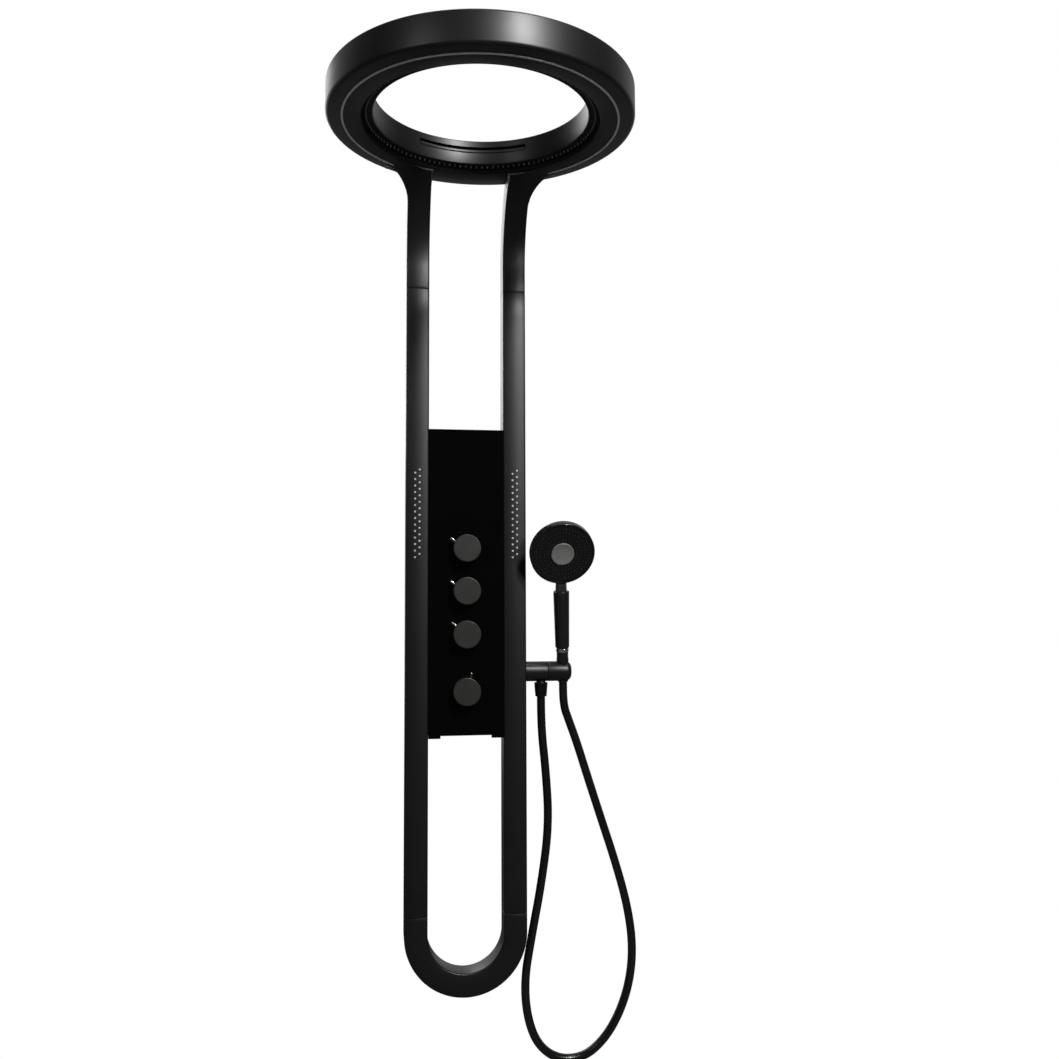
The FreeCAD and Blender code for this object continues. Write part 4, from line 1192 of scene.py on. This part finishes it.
def makeCollar(look):
    (lowRadius, low), (highRadius, high) = look["collar"]
    bead = look["collarBead"]
    outline = [(lowRadius - bead, low), (lowRadius, low + bead), (lowRadius - bead, low + 4 * bead),
               (highRadius, high - 3 * bead), (highRadius - bead / 2, high)]
    piece = turnedPiece("collar", outline, look["sides"])
    return settle(piece, onHandset)


def makeHeadRim(look):
    outer, inner = look["rim"], look["rim"] - look["rimWidth"]
    front, back = -look["rimProud"], look["rimDepth"]
    piece = flatRing("headRim", inner, outer, front, back, look["sides"])
    roundRims(piece, [(outer, front), (outer, back)], look["rimRound"], segments=6)
    roundRims(piece, [(inner, front)], look["rimProud"] / 2, segments=2)
    return settle(piece, onHead)


def makeSprayPlate(look):
    outer = look["rim"] - look["rimWidth"] - look["seat"]
    inner = look["buttonRadius"] + look["buttonGap"]
    front, back = look["plateDepth"], look["plateDepth"] + look["plateThickness"]
    piece = flatRing("sprayPlate", inner, outer, front, back, look["sides"])
    roundRims(piece, [(inner, front)], look["buttonGap"], segments=2)
    return settle(piece, onHead)


def makeSprayTips(look):
    # The tips stand on a mat behind the plate
    radius, proud, hole = look["nozzleRadius"], look["nozzleProud"], look["nozzleHole"]
    front, back = look["plateDepth"] - proud, look["plateDepth"] + look["plateThickness"]
    outline = [(radius, back), (radius, front + proud * look["nozzleShoulderShare"]),
               (radius * look["nozzleTipShare"], front), (hole, front), (hole, front + proud)]
    master = turnedPiece("sprayTip", outline, look["nozzleSides"])
    places = []
    for circle, count in look["rings"]:
        for index in range(count):
            turn = 2 * math.pi * index / count
            places.append(Matrix.Translation((circle * math.cos(turn), circle * math.sin(turn), 0)))
    tips = settle(copiesOf(master, "sprayTips", places), onHead)
    outer = look["rim"] - look["rimWidth"] - look["seat"]
    inner = look["buttonRadius"] + 2 * look["buttonGap"]
    mat = flatRing("sprayMat", inner, outer, back, back + look["matThickness"], look["sides"])
    return joinPieces([tips, settle(mat, onHead)], "sprayTips")


def makeButton(look):
    radius, front, dish = look["buttonRadius"], -look["buttonProud"], look["buttonDish"]
    outline = [(radius, look["buttonDepth"]), (radius, front), (radius * look["buttonLandShare"], front),
               (radius * look["buttonStepShare"], front + dish),
               (radius * look["buttonMiddleShare"], front + 2 * dish)]
    piece = turnedPiece("sprayButton", outline, look["sides"])
    roundRims(piece, [(radius, front)], look["buttonRound"], segments=5)
    return settle(piece, onHead)


def makeHeadBack(look):
    rimPoint, midPoint, flatPoint = look["dome"]
    outline = [rimPoint]
    for (start, end), bulge in zip(((rimPoint, midPoint), (midPoint, flatPoint)), look["domeBulge"]):
        for step in range(1, look["domeSteps"] + 1):
            share = step / look["domeSteps"]
            swell = 4 * share * (1 - share) * bulge
            outline.append((start[0] + (end[0] - start[0]) * share + swell,
                            start[1] + (end[1] - start[1]) * share + swell))
    dome = settle(turnedPiece("headDome", outline, look["sides"]), onHead)
    # The stub ends where the rim's space begins, so that its front is shorter than its back
    radius, low, high = look["stub"]
    run = [(radius, low), (radius, (low + high) / 2), (radius, high)]
    stub = turnedPiece("headStub", run, look["stubSides"])
    toHead = onHead.inverted() @ onHandset
    for point in stub.data.vertices:
        spot = toHead @ point.co
        while spot.z < look["dome"][0][1] and spot.xy.length < look["rim"] + look["buttonGap"]:
            point.co.z -= look["seat"]
            spot = toHead @ point.co
    settle(stub, onHandset)
    return joinPieces([dome, stub], "headBack")


conePiece = finishPiece(makeCone(hand), "gripBlack", "handset", ["hose_cone"])
finishPiece(makeEndRing(hand), "chrome", "handset", ["end_ring"])
finishPiece(makeGrip(hand), "gripBlack", "handset", ["grip"])
finishPiece(makeCollar(hand), "chrome", "handset", ["collar"])
finishPiece(makeHeadRim(hand), "blackGloss", "handset", ["head_rim"])
finishPiece(makeSprayPlate(hand), "sprayFace", "handset", ["spray_plate"])
finishPiece(makeSprayTips(hand), "sprayTip", "handset", ["spray_mat"])
finishPiece(makeButton(hand), "buttonGrey", "button", ["spray_button"])
finishPiece(makeHeadBack(hand), "blackGloss", "handset", ["handset_back"])
print("hand shower made")


# The hose's two stretches with their fittings: the loop, and the one into the hand shower; lengths printed

def pathLength(path):
    return sum((Vector(after) - Vector(before)).length for before, after in zip(path, path[1:]))


hoseRuns = [(hosePiece, hosePath, [nutPiece]), (risePiece, risePath, [tailPiece, conePiece])]
for stretch, path, fittings in hoseRuns:
    print("free hose, metres", round(pathLength(path), 3))


# Floor, lamps and the pale studio around

studio = {
    "floorSize": 14.0,
    "floorHeight": -1.25,
    "floorColour": (0.13, 0.13, 0.13, 1),
    "floorGlow": (0.90, 1.0),
    "floorFade": (0.45, 1.05),
    "backdropGlow": 1.0,
    "mirrorGlow": 0.5,
    "softGlow": 0.22,
    "roomGlow": 0.022,
    "backdropEdge": (0.05, 0.75),
    "lamps": [
        # place, aim, width, height, watts
        ((1.12, -2.42, 0.90), (0.03, -0.3, 0.25), 0.35, 0.70, 10),
        ((0.93, -2.45, 1.90), (0.03, -0.3, 0.65), 0.26, 0.56, 72),
        ((-1.6, -1.95, 1.30), (0.0, -0.3, 0.4), 0.30, 0.90, 4.5),
        ((0.2, -0.15, 2.6), (0.2, -0.15, 0.0), 1.6, 0.5, 14),
        ((-0.9, 2.2, 1.3), (0.0, 0.0, 0.0), 1.8, 1.6, 22),
    ],
}


def makeStudio(look):
    clearSelection()
    bpy.ops.mesh.primitive_plane_add(size=look["floorSize"], location=(0, 0, look["floorHeight"]))
    floor = bpy.context.object
    floor.name = "floor"
    finish = Finish("floorPaint")
    plain = finish.node("BsdfDiffuse", inputs={"Color": look["floorColour"]})
    glow = finish.node("Emission", inputs={"Color": (1, 1, 1, 1), "Strength": look["backdropGlow"]})
    seen = finish.node("LightPath", output=0)
    # Near the object the floor keeps its shadow, and farther off it turns into the white backdrop
    place = finish.node("TexCoord", output=3)
    away = finish.node("VectorMath", {"operation": "LENGTH"}, {0: place}, output=1)
    near, far = look["floorFade"]
    low, high = look["floorGlow"]
    share = finish.node("MapRange", inputs={0: away, 1: near, 2: far, 3: low, 4: high})
    mixed = finish.node("MixShader", inputs={0: seen * share, 1: plain, 2: glow})
    floor.data.materials.append(finish.done(mixed))
    for place, aim, width, height, watts in look["lamps"]:
        turn = (Vector(aim) - Vector(place)).to_track_quat("-Z", "Y").to_euler()
        bpy.ops.object.light_add(type="AREA", location=place, rotation=turn)
        lamp = bpy.context.object
        lamp.data.shape = "RECTANGLE"
        lamp.data.size = width
        lamp.data.size_y = height
        lamp.data.energy = watts


def makeRoom(look):
    # White where the camera looks; gloss sees that backdrop on the wall's side and a dim room on the other
    room = Finish("room", world=True)
    heading = room.node("SeparateXYZ", inputs={0: room.node("TexCoord", output=0)}, output=1)
    low, high = look["backdropEdge"]
    wallSide = room.node("MapRange", {"interpolation_type": "SMOOTHSTEP"},
                         {0: heading, 1: low, 2: high, 3: look["roomGlow"], 4: look["mirrorGlow"]})
    seen = room.node("LightPath", output=0)
    glossy = room.node("LightPath", output=3)
    passing = room.node("LightPath", output=6)
    mirrored = room.node("Math", {"operation": "MAXIMUM"}, {0: glossy, 1: passing})
    softly = (1 - seen) * (1 - mirrored) * look["softGlow"]
    strength = softly + seen * look["backdropGlow"] + (1 - seen) * mirrored * wallSide
    room.done(room.node("Background", inputs={"Color": (1, 1, 1, 1), "Strength": strength}))


makeStudio(studio)
makeRoom(studio)
bpy.context.scene.view_settings.view_transform = "Standard"
print("studio set")
